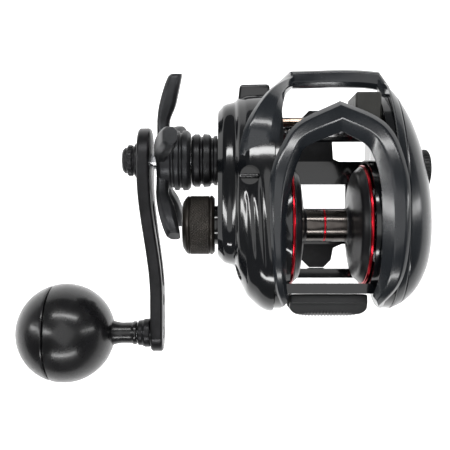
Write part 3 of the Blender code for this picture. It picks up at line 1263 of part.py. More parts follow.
def main():
    """Make every part, each moving one under an empty on its joint's axis."""
    crank = joint_empty("crank_axis", (0.0, *DRIVE_AXIS))
    star = joint_empty("star_axis", (0.0, *DRIVE_AXIS))
    knob = joint_empty("knob_axis", (0.0, *KNOB_AXIS))
    spool = joint_empty("spool_axis", (0.0, *SPOOL_AXIS))
    pinion = joint_empty("pinion_axis", (0.0, *SPOOL_AXIS))
    yoke = joint_empty("yoke_slide", (0.0, *SPOOL_AXIS))
    cam = joint_empty("clutch_cam_axis", (0.0, *SPOOL_AXIS))
    tension = joint_empty("tension_axis", (0.0, *SPOOL_AXIS))
    dial = joint_empty("dial_axis", (0.0, DIAL_Y, DIAL_Z))
    magnets = joint_empty("magnet_slide", (0.0, *SPOOL_AXIS))
    worm = joint_empty("worm_axis", (0.0, *WORM_AXIS))
    guide = joint_empty("line_guide_slide", (LINE_GUIDE_X, *GUIDE_AXIS))
    thumb = joint_empty("thumb_bar_slide", (0.0, THUMB_TAB_Y, THUMB_TAB_Z))
    make_foot()
    make_foot_screws()
    make_frame()
    make_gear_side_cover()
    make_cover_screws()
    make_palm_side_cover()
    make_hood()
    make_nose_bow()
    make_spool(spool)
    make_spool_bearings()
    make_main_gear(crank)
    make_pinion(pinion)
    make_yoke(yoke)
    make_yoke_posts()
    make_clutch_cam(cam)
    make_drive_shaft(crank)
    make_shaft_supports()
    make_star_drag(star)
    make_handle_arm(crank)
    make_handle_fasteners(crank)
    make_knob(knob)
    make_tension_knob(tension)
    make_end_shim()
    make_brake(dial, magnets)
    make_level_wind(worm)
    make_line_guide(guide)
    make_thumb_bar(thumb)


main()
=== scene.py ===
"""Looks of the baitcasting reel: fine surfaces and finishes laid over its fixed frame.

Every length is in metres, in the frame's own axes: +X to the palm side along the spool, +Y to the
front, where the line leaves, and +Z up from the underside of the foot.
"""

import json
import math

import bmesh
import bpy
import numpy as np
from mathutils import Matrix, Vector


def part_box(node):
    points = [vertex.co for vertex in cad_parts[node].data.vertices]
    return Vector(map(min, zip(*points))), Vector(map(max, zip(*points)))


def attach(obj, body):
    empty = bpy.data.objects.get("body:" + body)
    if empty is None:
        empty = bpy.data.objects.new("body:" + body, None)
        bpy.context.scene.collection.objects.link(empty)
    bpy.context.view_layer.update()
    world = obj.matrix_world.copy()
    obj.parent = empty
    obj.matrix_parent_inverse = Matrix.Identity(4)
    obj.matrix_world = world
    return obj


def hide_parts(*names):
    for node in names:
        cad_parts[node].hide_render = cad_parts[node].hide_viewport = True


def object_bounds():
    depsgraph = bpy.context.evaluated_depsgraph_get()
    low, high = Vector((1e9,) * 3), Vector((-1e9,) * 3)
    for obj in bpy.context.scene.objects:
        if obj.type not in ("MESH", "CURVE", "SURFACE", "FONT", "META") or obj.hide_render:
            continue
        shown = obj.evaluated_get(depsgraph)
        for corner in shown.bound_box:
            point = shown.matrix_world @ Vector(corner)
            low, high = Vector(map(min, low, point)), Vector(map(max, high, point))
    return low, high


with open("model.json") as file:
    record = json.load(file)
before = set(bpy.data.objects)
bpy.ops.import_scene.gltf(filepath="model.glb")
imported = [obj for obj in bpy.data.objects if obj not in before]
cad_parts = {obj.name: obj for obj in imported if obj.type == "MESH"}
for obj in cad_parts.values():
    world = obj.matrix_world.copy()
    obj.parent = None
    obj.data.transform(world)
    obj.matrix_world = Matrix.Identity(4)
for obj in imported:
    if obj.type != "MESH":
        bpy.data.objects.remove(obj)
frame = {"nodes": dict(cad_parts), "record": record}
cad_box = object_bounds()

TURN = 2 * math.pi


# -------- places read from the frame

def span(node):
    """Lowest and highest corner of a node as arrays."""
    low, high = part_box(node)
    return np.array(low), np.array(high)


def axis_of(node):
    """Centre of a turned node in the (y, z) plane."""
    low, high = span(node)
    return (low[1:] + high[1:]) / 2


SPOOL_AXIS = axis_of("spool")
DRIVE_AXIS = axis_of("pressure_plate")
KNOB_AXIS = axis_of("handle_knob")
WORM_AXIS = axis_of("worm_shaft")
DIAL_AXIS = axis_of("brake_dial")


# -------- surfaces

def filleted(points, radius, steps=4, closed=False):
    """Polyline in any dimension with each corner rounded by a quadratic curve of the given reach."""
    points = np.asarray(points, float)
    count = len(points)
    share = np.linspace(0, 1, steps + 1)[:, None]
    path = []
    for i in range(count):
        if not closed and i in (0, count - 1):
            path.append(points[i:i + 1])
            continue
        here = points[i]
        back = points[i - 1] - here
        ahead = points[(i + 1) % count] - here
        near_back = min(radius, 0.49 * np.linalg.norm(back))
        near_ahead = min(radius, 0.49 * np.linalg.norm(ahead))
        start = here + back * near_back / max(np.linalg.norm(back), 1e-9)
        end = here + ahead * near_ahead / max(np.linalg.norm(ahead), 1e-9)
        path.append((1 - share) ** 2 * start + 2 * share * (1 - share) * here + share ** 2 * end)
    return np.concatenate(path)


def respaced(points, spacing, closed=False):
    """The same polyline with extra points, so that no step is longer than the spacing."""
    points = np.asarray(points, float)
    ends = np.roll(points, -1, axis=0) if closed else points[1:]
    starts = points if closed else points[:-1]
    pieces = []
    for start, end in zip(starts, ends):
        count = max(1, int(math.ceil(np.linalg.norm(end - start) / spacing)))
        share = np.linspace(0, 1, count, endpoint=False)[:, None]
        pieces.append(start + (end - start) * share)
    if not closed:
        pieces.append(points[-1:])
    return np.concatenate(pieces)


def smooth_curve(points, per_span):
    """Catmull-Rom curve through given points, evaluated a whole span at a time."""
    points = np.asarray(points, float)
    padded = np.concatenate([2 * points[:1] - points[1:2], points, 2 * points[-1:] - points[-2:-1]])
    t = np.linspace(0, 1, per_span, endpoint=False)[:, None]
    pieces = []
    for i in range(len(points) - 1):
        a, b, c, d = padded[i:i + 4]
        pieces.append(0.5 * (2 * b + (c - a) * t + (2 * a - 5 * b + 4 * c - d) * t ** 2
                             + (3 * b - a - 3 * c + d) * t ** 3))
    return np.concatenate(pieces + [points[-1:]])


def smoothstep(low, high, value):
    """0 below low, 1 above high, and a smooth rise between."""
    share = np.clip((value - low) / (high - low), 0, 1)
    return share * share * (3 - 2 * share)


def grid_faces(rows, columns, close_rows):
    """Quads of a grid of points. Each row wraps round, and the last row may join the first."""
    i = np.arange(rows if close_rows else rows - 1)[:, None]
    j = np.arange(columns)[None, :]
    below = i * columns
    above = ((i + 1) % rows) * columns
    right = (j + 1) % columns
    return np.stack([below + j, below + right, above + right, above + j], -1).reshape(-1, 4)


def shade(mesh, angle=32):
    """Shade a mesh smooth but for the edges that are sharper than the angle."""
    mesh.shade_smooth()
    mesh.set_sharp_from_angle(angle=math.radians(angle))


def placed(name, data):
    """New object in the scene for a mesh, a light or a camera."""
    made = bpy.data.objects.new(name, data)
    bpy.context.scene.collection.objects.link(made)
    return made


def solid(name, grid, finish, close_rows=False, caps=True, sharp=32):
    """Closed piece from a grid of points, in its finish: its doubles are merged, its faces turned
    outwards, and it is shaded smooth up to the sharp angle."""
    rows, columns, _ = grid.shape
    faces = grid_faces(rows, columns, close_rows).tolist()
    if caps and not close_rows:
        faces.append(list(range(columns)))
        faces.append([(rows - 1) * columns + j for j in range(columns)])
    mesh = bpy.data.meshes.new(name)
    mesh.from_pydata(grid.reshape(-1, 3).tolist(), [], faces)
    form = bmesh.new()
    form.from_mesh(mesh)
    bmesh.ops.remove_doubles(form, verts=form.verts, dist=1e-7)
    bmesh.ops.dissolve_degenerate(form, edges=form.edges, dist=1e-8)
    bmesh.ops.recalc_face_normals(form, faces=form.faces)
    form.to_mesh(mesh)
    form.free()
    shade(mesh, sharp)
    piece = placed(name, mesh)
    if finish is not None:
        mesh.materials.append(finish)
    return piece


def lathe(name, profile, axis, finish, segments=96, closed=False, caps=True, wave=None, sharp=32):
    """Surface of revolution about an axis along X: each (x, radius) point sweeps a circle, and a
    wave of x, the radius and the angle may add to the radius."""
    profile = np.asarray(profile, float)
    angle = np.linspace(0, TURN, segments, endpoint=False)[None, :]
    x = profile[:, :1] + 0 * angle
    radius = profile[:, 1:] + 0 * angle
    if wave is not None:
        radius = radius + wave(x, radius, angle)
    grid = np.stack([x, axis[0] + radius * np.cos(angle), axis[1] + radius * np.sin(angle)], -1)
    return solid(name, grid, finish, close_rows=closed, caps=caps, sharp=sharp)


def prism(name, outline, x_low, x_high, finish, edge=0.0, steps=3, plane="yz"):
    """Plate with a flat outline and rounded rims: the outline is stepped in along a quarter circle
    at each face. In plane yz the thickness is along x, and in plane xy it is along z."""
    outline = np.asarray(outline, float)
    ahead = np.roll(outline, -1, axis=0) - outline
    behind = outline - np.roll(outline, 1, axis=0)
    tangent = ahead / np.linalg.norm(ahead, axis=1, keepdims=True)
    tangent = tangent + behind / np.linalg.norm(behind, axis=1, keepdims=True)
    tangent /= np.maximum(np.linalg.norm(tangent, axis=1, keepdims=True), 1e-9)
    normal = np.stack([tangent[:, 1], -tangent[:, 0]], -1)
    area = np.sum(outline[:, 0] * np.roll(outline[:, 1], -1)
                  - outline[:, 1] * np.roll(outline[:, 0], -1))
    normal *= math.copysign(1.0, area)
    if edge > 0:
        turn = np.linspace(0, math.pi / 2, steps + 1)
        rise = edge * (1 - np.sin(turn[::-1]))
        inset = edge * (1 - np.cos(turn[::-1]))
    else:
        rise = inset = np.zeros(1)
    levels = np.concatenate([x_low + rise, x_high - rise[::-1]])
    insets = np.concatenate([inset, inset[::-1]])
    flat = outline[None] - normal[None] * insets[:, None, None]
    height = np.broadcast_to(levels[:, None, None], flat.shape[:2] + (1,))
    order = [height, flat] if plane == "yz" else [flat, height]
    return solid(name, np.concatenate(order, -1), finish, sharp=40)


def round_outline(radius, centre, count):
    """Points round a circle."""
    angle = np.linspace(0, TURN, count, endpoint=False)
    return np.stack([centre[0] + radius * np.cos(angle), centre[1] + radius * np.sin(angle)], -1)


def carve(piece, cutters):
    """Take the cutters out of a piece and leave a plain mesh."""
    for cutter in cutters:
        change = piece.modifiers.new(cutter.name, "BOOLEAN")
        change.operation = "DIFFERENCE"
        change.solver = "EXACT"
        change.object = cutter
    graph = bpy.context.evaluated_depsgraph_get()
    graph.update()
    mesh = bpy.data.meshes.new_from_object(piece.evaluated_get(graph))
    piece.modifiers.clear()
    piece.data = mesh
    for cutter in cutters:
        bpy.data.objects.remove(cutter, do_unlink=True)
    shade(mesh)


def ease(piece, width, angle=35):
    """Round the edges that are sharper than the angle."""
    bevel = piece.modifiers.new("edge", "BEVEL")
    bevel.width = width
    bevel.segments = 2
    bevel.limit_method = "ANGLE"
    bevel.angle_limit = math.radians(angle)
    bevel.harden_normals = True


def settle(piece, body, slot, *nodes):
    """Let a piece ride on its body in place of the nodes that it stands for; the slot is not used."""
    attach(piece, body)
    if nodes:
        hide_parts(*nodes)


def eased_copy(node, body, slot, finish, width):
    """Copy of a node with its doubles merged, its flats joined and its edges rounded."""
    mesh = frame["nodes"][node].data.copy()
    mesh.materials.clear()
    form = bmesh.new()
    form.from_mesh(mesh)
    bmesh.ops.remove_doubles(form, verts=form.verts, dist=2e-6)
    bmesh.ops.dissolve_limit(form, angle_limit=math.radians(2), verts=form.verts, edges=form.edges)
    form.to_mesh(mesh)
    form.free()
    shade(mesh)
    piece = placed(node + "_fine", mesh)
    mesh.materials.append(finish)
    ease(piece, width)
    settle(piece, body, slot, node)


# -------- finishes

def set_inputs(node, **values):
    """Set inputs of a shader node by name, with underscores for spaces."""
    for key, value in values.items():
        node.inputs[key.replace("_", " ")].default_value = value


class Finish:
    """A Principled material and the node helpers that its patterns need."""

    def __init__(self, name, colour, roughness, metallic=0.0, coat=0.0, coat_roughness=0.05):
        self.material = bpy.data.materials.new(name)
        self.material.use_nodes = True
        self.tree = self.material.node_tree
        self.shader = self.tree.nodes["Principled BSDF"]
        set_inputs(self.shader, Base_Color=(*colour, 1.0), Roughness=roughness, Metallic=metallic,
                   Coat_Weight=coat, Coat_Roughness=coat_roughness)
        self.place = self.tree.nodes.new("ShaderNodeTexCoord").outputs["Object"]

    def node(self, kind, **inputs):
        """New node with its inputs set or linked by name."""
        made = self.tree.nodes.new(kind)
        for key, value in inputs.items():
            socket = made.inputs[key.replace("_", " ")]
            if isinstance(value, bpy.types.NodeSocket):
                self.tree.links.new(value, socket)
            else:
                socket.default_value = value
        return made

    def noise(self, scale, detail=4.0, stretch=None):
        """Noise over the piece, which may be stretched along an axis."""
        place = self.place
        if stretch is not None:
            place = self.node("ShaderNodeMapping", Vector=place, Scale=stretch).outputs["Vector"]
        return self.node("ShaderNodeTexNoise", Vector=place, Scale=scale, Detail=detail).outputs["Fac"]

    def vary_colour(self, value, first, second):
        """Base colour between two tones."""
        ramp = self.node("ShaderNodeValToRGB", Fac=value)
        for stop, place, tone in zip(ramp.color_ramp.elements, (0.35, 0.65), (first, second)):
            stop.position = place
            stop.color = (*tone, 1.0)
        self.tree.links.new(ramp.outputs["Color"], self.shader.inputs["Base Color"])

    def vary_roughness(self, value, low, high):
        """Roughness between two values."""
        made = self.node("ShaderNodeMapRange", Value=value, From_Min=0.3, From_Max=0.7, To_Min=low,
                         To_Max=high)
        self.tree.links.new(made.outputs["Result"], self.shader.inputs["Roughness"])

    def bump(self, value, strength, distance):
        """Fine relief from a value."""
        made = self.node("ShaderNodeBump", Height=value, Strength=strength, Distance=distance)
        self.tree.links.new(made.outputs["Normal"], self.shader.inputs["Normal"])


def lacquer(name, dark, light, roughness, coat):
    """Sprayed lacquer: near-even colour, slight orange peel and faint handling smears."""
    made = Finish(name, dark, roughness, coat=coat, coat_roughness=roughness * 0.5)
    made.vary_colour(made.noise(60.0), dark, light)
    made.vary_roughness(made.noise(140.0, 6.0), roughness * 0.8, roughness * 1.35)
    made.bump(made.noise(2600.0, 2.0), 0.03, 0.00002)
    return made.material


def anodised(name, dark, light, roughness, metallic=0.55):
    """Blasted and anodised metal: fine grain, with rubbed patches that are a little smoother."""
    made = Finish(name, dark, roughness, metallic=metallic)
    made.vary_colour(made.noise(220.0, 5.0), dark, light)
    made.vary_roughness(made.noise(90.0, 5.0), roughness * 0.82, roughness * 1.2)
    made.bump(made.noise(5200.0, 3.0), 0.22, 0.00003)
    return made.material


def moulded(name, dark, light, roughness):
    """Moulded plastic with a fine spark-eroded grain."""
    made = Finish(name, dark, roughness)
    made.vary_colour(made.noise(150.0, 5.0), dark, light)
    made.vary_roughness(made.noise(400.0, 4.0), roughness * 0.88, roughness * 1.12)
    made.bump(made.noise(3600.0, 4.0), 0.30, 0.00005)
    return made.material


def machined(name, dark, light, roughness):
    """Bright turned or ground metal, with fine marks that run round the X axis."""
    made = Finish(name, dark, roughness, metallic=1.0)
    marks = made.noise(900.0, 3.0, stretch=(6.0, 0.4, 0.4))
    made.vary_colour(made.noise(300.0, 4.0), dark, light)
    made.vary_roughness(marks, roughness * 0.75, roughness * 1.3)
    made.bump(marks, 0.10, 0.00002)
    return made.material


GLOSS = lacquer("gloss_black_lacquer", (0.0030, 0.0034, 0.0042), (0.0058, 0.0066, 0.0082), 0.12, 0.5)
SLATE = lacquer("slate_lacquer", (0.0085, 0.0105, 0.0135), (0.0135, 0.0165, 0.0205), 0.22, 0.35)
KNOB = lacquer("knob_black", (0.004, 0.004, 0.0045), (0.007, 0.007, 0.008), 0.26, 0.25)
SATIN = anodised("satin_black_anodise", (0.011, 0.011, 0.012), (0.020, 0.020, 0.022), 0.36)
STAR = anodised("star_grey_anodise", (0.022, 0.023, 0.025), (0.034, 0.035, 0.038), 0.40)
KNURL = anodised("knurled_brown_black", (0.022, 0.019, 0.016), (0.040, 0.034, 0.029), 0.36)
RED = anodised("red_anodise", (0.36, 0.006, 0.014), (0.50, 0.012, 0.024), 0.24, metallic=0.9)
SPOOL_BLACK = anodised("spool_black_anodise", (0.008, 0.008, 0.009), (0.014, 0.014, 0.016), 0.32,
                       metallic=0.2)
ARBOR = anodised("arbor_gunmetal", (0.085, 0.075, 0.070), (0.120, 0.108, 0.100), 0.20, metallic=1.0)
CHARCOAL = moulded("charcoal_plastic", (0.0055, 0.0060, 0.0066), (0.0100, 0.0108, 0.0118), 0.46)
OLIVE = moulded("olive_grey_plastic", (0.018, 0.018, 0.015), (0.028, 0.028, 0.024), 0.48)
BRONZE = machined("bronze_rod", (0.20, 0.15, 0.115), (0.30, 0.23, 0.18), 0.20)
BRASS = machined("machined_brass", (0.60, 0.44, 0.19), (0.74, 0.57, 0.28), 0.26)
STEEL = machined("ground_steel", (0.50, 0.51, 0.53), (0.64, 0.65, 0.67), 0.24)
CARBON = moulded("carbon_friction_disc", (0.018, 0.018, 0.018), (0.040, 0.040, 0.040), 0.62)
CERAMIC = lacquer("polished_ceramic", (0.62, 0.62, 0.60), (0.72, 0.72, 0.70), 0.14, 0.4)


# -------- shared outlines

SPOOL_Z = SPOOL_AXIS[1]
BODY_UP = 0.0222
BODY_REAR = 0.0285
GEAR_SIDE_FRONT = 0.0444
GEAR_SIDE_DOWN = 0.0268
PALM_SIDE_FRONT = 0.0520
PALM_SIDE_DOWN = 0.0246
NOSE_DROOP = 0.0080             # how far the middle line falls over the nose's reach
NOSE_REACH = 0.0500
CROWN_LIFT = 0.0006             # the hood's seat above the body's own top
CROWN_CURVE = 2.35
GEAR_SIDE_CURVE = 2.6           # powers of the superellipses: 2 is round, more is squarer
PALM_SIDE_CURVE = 2.2


def centre_line(y):
    """Height of the body's middle line, which droops as a parabola towards the nose."""
    return SPOOL_Z - NOSE_DROOP * (np.maximum(y, 0.0) / NOSE_REACH) ** 2


def side_outline(rear, front, up, down, power, count):
    """Side view of the body: a superellipse with its own reach each way, in arrays of (y, z)."""
    angle = np.linspace(0, TURN, count, endpoint=False)
    cosine, sine = np.cos(angle), np.sin(angle)
    y = np.where(cosine > 0, front, rear) * np.sign(cosine) * np.abs(cosine) ** (2 / power)
    z = np.where(sine > 0, up, down) * np.sign(sine) * np.abs(sine) ** (2 / power)
    return y, centre_line(y) + z


def crown(y):
    """Height of the surface that the hood rests on, a superellipse along y over the middle line."""
    share = np.minimum(np.abs(y) / np.where(y > 0, PALM_SIDE_FRONT, BODY_REAR), 0.999)
    rise = (1 - share ** CROWN_CURVE) ** (1 / CROWN_CURVE)
    return centre_line(y) + (BODY_UP + CROWN_LIFT) * rise


# -------- gear side cover

def sunk(grid, depth):
    """Grid of points moved inwards along the surface's own normals by a depth at each point."""
    along = np.gradient(grid, axis=0)
    wrapped = np.concatenate([grid[:, -1:], grid, grid[:, :1]], axis=1)
    across = (wrapped[:, 2:] - wrapped[:, :-2]) / 2
    normal = np.cross(along, across)
    length = np.linalg.norm(normal, axis=2, keepdims=True)
    normal /= np.maximum(length, 1e-12)
    middle = grid.reshape(-1, 3).mean(axis=0)
    normal *= np.sign(np.sum(normal * (grid - middle), axis=2, keepdims=True) + 1e-12)
    return grid - normal * depth[..., None]


# x, and how far the outline has drawn in there at the rear, front, top and foot
COVER_STATIONS = [
    (-0.0196, 0.0, 0.0, 0.0, 0.0), (-0.0222, 0.0012, 0.0001, 0.0002, 0.0002),
    (-0.0264, 0.0050, 0.0003, 0.0012, 0.0006), (-0.0292, 0.0106, 0.0012, 0.0036, 0.0026),
    (-0.0304, 0.0150, 0.0026, 0.0054, 0.0042), (-0.0338, 0.0158, 0.0034, 0.0060, 0.0050),
    (-0.0358, 0.0180, 0.0058, 0.0082, 0.0072)]
COVER_CORNER = 0.0014
# x at the front and rear end of each furrow, y of those ends, and its depth
FURROWS = [(-0.0272, -0.0262, 0.0110, -0.0100, 0.00030),
           (-0.0250, -0.0236, 0.0100, -0.0140, 0.00036),
           (-0.0226, -0.0206, 0.0160, -0.0170, 0.00036)]
FURROW_WIDTH = 0.00055
COVER_SCREWS = ("cover_screw_1", "cover_screw_2", "cover_screw_3")
WELL_X = -0.0258
WELL_Y = 0.0155
WELL_TOP = 0.0454
WELL_RADIUS = 0.0030
WELL_DEPTH = 0.0042
BOSS_RADIUS = 0.0066
BOSS_ROOT_X = -0.0350
TAB_FOOT = 0.0157
TAB_TOP = 0.0262


def furrow_depth(x, y):
    """Depth of the furrows: a bell curve across each, fading in and out smoothly along it."""
    depth = np.zeros_like(x)
    for near, far, start, end, sink in FURROWS:
        share = (start - y) / (start - end)
        middle = near + (far - near) * share
        along = smoothstep(0.0, 0.22, share) * (1 - smoothstep(0.72, 1.0, share))
        depth += sink * along * np.exp(-((x - middle) / FURROW_WIDTH) ** 2)
    return depth


def sink_screws(grid):
    """Press a round flat into the cover behind the head of each cover screw."""
    for screw in COVER_SCREWS:
        place = axis_of(screw)
        away = np.hypot(grid[..., 1] - place[0], grid[..., 2] - place[1])
        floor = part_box(screw)[0].x + 0.00025
        grid[..., 0] += np.clip(floor - grid[..., 0], 0, None) * smoothstep(0.0026, 0.0021, away)


def make_cover_shell(base_x):
    """Shell of the gear side: superellipse outlines carried along rounded stations, sunk along the
    surface's normals at the furrows, with a round well bored into its top."""
    stations = np.array([(base_x, 0.0, 0.0, 0.0, 0.0), *COVER_STATIONS])
    rows = []
    for x, rear, front, up, down in respaced(filleted(stations, COVER_CORNER, 6), 0.00035):
        y, z = side_outline(BODY_REAR - rear, GEAR_SIDE_FRONT - front, BODY_UP - up,
                            GEAR_SIDE_DOWN - down, GEAR_SIDE_CURVE, 420)
        rows.append(np.stack([np.full_like(y, x), y, z], -1))
    grid = np.array(rows)
    on_top = smoothstep(0.028, 0.036, grid[..., 2])
    grid = sunk(grid, furrow_depth(grid[..., 0], grid[..., 1]) * on_top)
    sink_screws(grid)
    shell = solid("gear_cover_shell", grid, GLOSS, sharp=38)
    around = round_outline(WELL_RADIUS, (WELL_X, WELL_Y), 48)
    levels = np.array([WELL_TOP - WELL_DEPTH, 0.0520])
    well = np.stack([np.column_stack([around, np.full(48, level)]) for level in levels])
    carve(shell, [solid("well", well, None)])
    settle(shell, "frame", "gloss_black", "gear_side_cover")


def make_gear_cover():
    """Stepped cover over the gears, with a bar across its well, the threaded boss of the cast
    control, and a tab on its front that takes a screw."""
    low, high = span("gear_side_cover")
    make_cover_shell(high[0])
    half = WELL_RADIUS + 0.0002
    bar = filleted([(WELL_X - half, WELL_Y - 0.0008), (WELL_X + half, WELL_Y - 0.0008),
                    (WELL_X + half, WELL_Y + 0.0004), (WELL_X - half, WELL_Y + 0.0004)],
                   0.0003, 3, closed=True)
    bridge = prism("cover_well_bar", bar, WELL_TOP - 0.0034, WELL_TOP - 0.0012, GLOSS, edge=0.0004,
                   plane="xy")
    settle(bridge, "frame", "gloss_black")
    profile = filleted([(BOSS_ROOT_X, 0.0004), (BOSS_ROOT_X, BOSS_RADIUS), (low[0], BOSS_RADIUS),
                        (low[0], 0.0046), (BOSS_ROOT_X - 0.0020, 0.0046)], 0.0003)
    boss = lathe("cast_control_boss", profile, SPOOL_AXIS, GLOSS)
    settle(boss, "frame", "gloss_black")
    front = high[1]
    plan = filleted([(-0.0293, 0.0405), (-0.0286, front - 0.0002), (-0.0186, front),
                     (-0.0182, 0.0405)], 0.0012, 5, closed=True)
    tab = prism("front_screw_boss", plan, TAB_FOOT, TAB_TOP, GLOSS, edge=0.0008, steps=4, plane="xy")
    settle(tab, "frame", "gloss_black")


# -------- palm side cover

PALM_START = 0.0130             # centre of the dome's own curve
PALM_DEPTH = 0.0215
PALM_BASE = 0.0204              # where the dome meets the plate
PALM_SEAM_X = 0.0237
PALM_SEAM_HALF = 0.00030
POCKET_FLOOR = 0.0308


def make_palm_cover():
    """Dome for the palm: body outlines shrunk along a quarter superellipse, with a fine seam line
    and a shallow pocket round the brake dial."""
    high = span("palm_side_cover")[1]
    start = math.asin((PALM_BASE - PALM_START) / PALM_DEPTH)
    end = math.asin(0.9995)
    angle = np.concatenate([[start, start], np.linspace(start, end, 70)])
    x = PALM_START + PALM_DEPTH * np.sin(angle)
    x[1] += 0.0006
    front = np.cos(angle)
    rear = (1 - np.sin(angle) ** 2.5) ** 0.4
    x = PALM_BASE + (x - PALM_BASE) * (high[0] - PALM_BASE) / (x[-1] - PALM_BASE)
    rows = []
    for i in range(len(x)):
        y, z = side_outline(BODY_REAR * rear[i], PALM_SIDE_FRONT * front[i], BODY_UP * rear[i],
                            PALM_SIDE_DOWN * rear[i], PALM_SIDE_CURVE, 240)
        rows.append(np.stack([np.full_like(y, x[i]), y, z], -1))
    grid = np.array(rows)
    x, y, z = grid[..., 0], grid[..., 1], grid[..., 2]
    seam = smoothstep(PALM_SEAM_HALF, 0.0, np.abs(x - PALM_SEAM_X))
    inward = np.array([0.012, SPOOL_Z - 0.002]) - grid[..., 1:]
    inward /= np.linalg.norm(inward, axis=2, keepdims=True)
    grid[..., 1:] += inward * (PALM_SEAM_HALF * seam)[..., None]
    away = np.hypot(y - DIAL_AXIS[0], z - DIAL_AXIS[1])
    dial_low, dial_high = span("brake_dial")
    reach = (dial_high[2] - dial_low[2]) / 2
    pocket = smoothstep(reach + 0.0012, reach + 0.0005, away)
    grid[..., 0] = x - np.clip(x - POCKET_FLOOR, 0, None) * pocket
    shell = solid("palm_cover_shell", grid, SLATE, sharp=38)
    settle(shell, "frame", "gloss_black", "palm_side_cover")


# -------- hood and nose

SECTION_FILLET = 0.022
# plan curves of the hood, from its rear end on the gear side to that on the palm side
HOOD_OUTER = [(-0.0152, -0.0262), (-0.0179, -0.0199), (-0.0194, -0.0080), (-0.0200, 0.0040),
              (-0.0196, 0.0154), (-0.0162, 0.0245), (-0.0106, 0.0322), (0.0030, 0.0394),
              (0.0135, 0.0342), (0.0185, 0.0289), (0.0213, 0.0203), (0.0227, 0.0102),
              (0.0223, -0.0048), (0.0205, -0.0174), (0.0152, -0.0262)]
HOOD_INNER = [(-0.0134, -0.0228), (-0.0144, -0.0190), (-0.0148, -0.0080), (-0.0146, 0.0040),
              (-0.0128, 0.0140), (-0.0106, 0.0205), (-0.0078, 0.0245), (0.0030, 0.0292),
              (0.0100, 0.0250), (0.0124, 0.0208), (0.0138, 0.0150), (0.0143, 0.0080),
              (0.0144, -0.0040), (0.0140, -0.0160), (0.0128, -0.0222)]
HOOD_SECTION = [(0.0, -0.20), (0.0, 0.40), (0.16, 0.94), (0.24, 1.00), (0.58, 1.00), (0.64, 0.94),
                (1.0, -0.35), (1.0, -0.60)]
HOOD_SEAT = 0.0003
HOOD_THICKNESS = 0.0021


def make_hood():
    """Pointed wishbone over the spool: a chamfered section carried between two plan curves, laid
    on the crown, with a crease where its two arms meet."""
    section = filleted(HOOD_SECTION, SECTION_FILLET, 3)
    rows = []
    apex = len(HOOD_OUTER) // 2
    for side in (slice(0, apex + 1), slice(apex, len(HOOD_OUTER))):
        outer = smooth_curve(HOOD_OUTER[side], 20)
        inner = smooth_curve(HOOD_INNER[side], 20)
        share, rise = section[:, 0], section[:, 1]
        plan = outer[:, None] + (inner - outer)[:, None] * share[None, :, None]
        height = crown(plan[..., 1]) + HOOD_SEAT + HOOD_THICKNESS * rise[None]
        block_rows = np.concatenate([plan, height[..., None]], -1)
        rows.append(block_rows if not rows else block_rows[1:])
    grid = np.concatenate(rows)
    low, high = span("hood")
    grid[..., 0] = np.clip(grid[..., 0], low[0] + 0.00002, high[0] - 0.00002)
    hood = solid("hood_shell", grid, SLATE, sharp=20)
    settle(hood, "frame", "slate", "hood")


# edges of the bow, from the gear side to the palm side, which lie on the covers at each end
BOW_OUTER = [(-0.0290, 0.0185, 0.0400), (-0.0285, 0.0260, 0.0402), (-0.0262, 0.0330, 0.0392),
             (-0.0212, 0.0410, 0.0345), (-0.0158, 0.0476, 0.0262), (-0.0112, 0.0529, 0.0172),
             (-0.0030, 0.0534, 0.0163), (0.0060, 0.0537, 0.0160), (0.0140, 0.0535, 0.0163),
             (0.0200, 0.0527, 0.0172), (0.0229, 0.0466, 0.0208), (0.0246, 0.0400, 0.0240)]
BOW_INNER = [(-0.0166, 0.0215, 0.0415), (-0.0163, 0.0275, 0.0408), (-0.0158, 0.0330, 0.0388),
             (-0.0151, 0.0385, 0.0346), (-0.0140, 0.0432, 0.0272), (-0.0118, 0.0470, 0.0180),
             (-0.0040, 0.0474, 0.0166), (0.0050, 0.0477, 0.0162), (0.0150, 0.0474, 0.0165),
             (0.0207, 0.0462, 0.0178), (0.0214, 0.0425, 0.0200), (0.0218, 0.0375, 0.0230)]
BOW_SECTION = [(0.0, 0.00), (0.0, 0.45), (0.14, 0.95), (0.20, 1.00), (0.66, 1.00), (0.74, 0.96),
               (1.0, 0.55), (1.0, 0.00)]
BOW_CORNERS = (5, 9)            # points where the bow is creased
BOW_THICKNESS = 0.0026


def make_nose_bow():
    """Front bumper: a broad blade down from the gear side, a bar across, and a return to the palm
    side. A chamfered section is carried between an outer and an inner edge, creased at the corners."""
    section = filleted(BOW_SECTION, SECTION_FILLET, 3)
    ends = (0, *BOW_CORNERS, len(BOW_OUTER) - 1)
    rows = []
    for start, stop in zip(ends[:-1], ends[1:]):
        outer = smooth_curve(BOW_OUTER[start:stop + 1], 20)
        inner = smooth_curve(BOW_INNER[start:stop + 1], 20)
        across = inner - outer
        run = np.gradient((outer + inner) / 2, axis=0)
        up = np.cross(across, run)
        up *= np.sign(up[:, 2:]) / np.linalg.norm(up, axis=1, keepdims=True)
        block_rows = (outer[:, None] + across[:, None] * section[None, :, :1]
                      + up[:, None] * (section[None, :, 1:] * BOW_THICKNESS))
        if rows:
            rows[-1] = np.concatenate([rows[-1][:-1], (rows[-1][-1:] + block_rows[:1]) / 2])
        rows.append(block_rows if not rows else block_rows[1:])
    grid = np.concatenate(rows)
    grid[..., 1] = np.minimum(grid[..., 1], span("nose_bow")[1][1])
    bow = solid("nose_bow_shell", grid, SLATE, sharp=20)
    settle(bow, "frame", "slate", "nose_bow")


# -------- spool

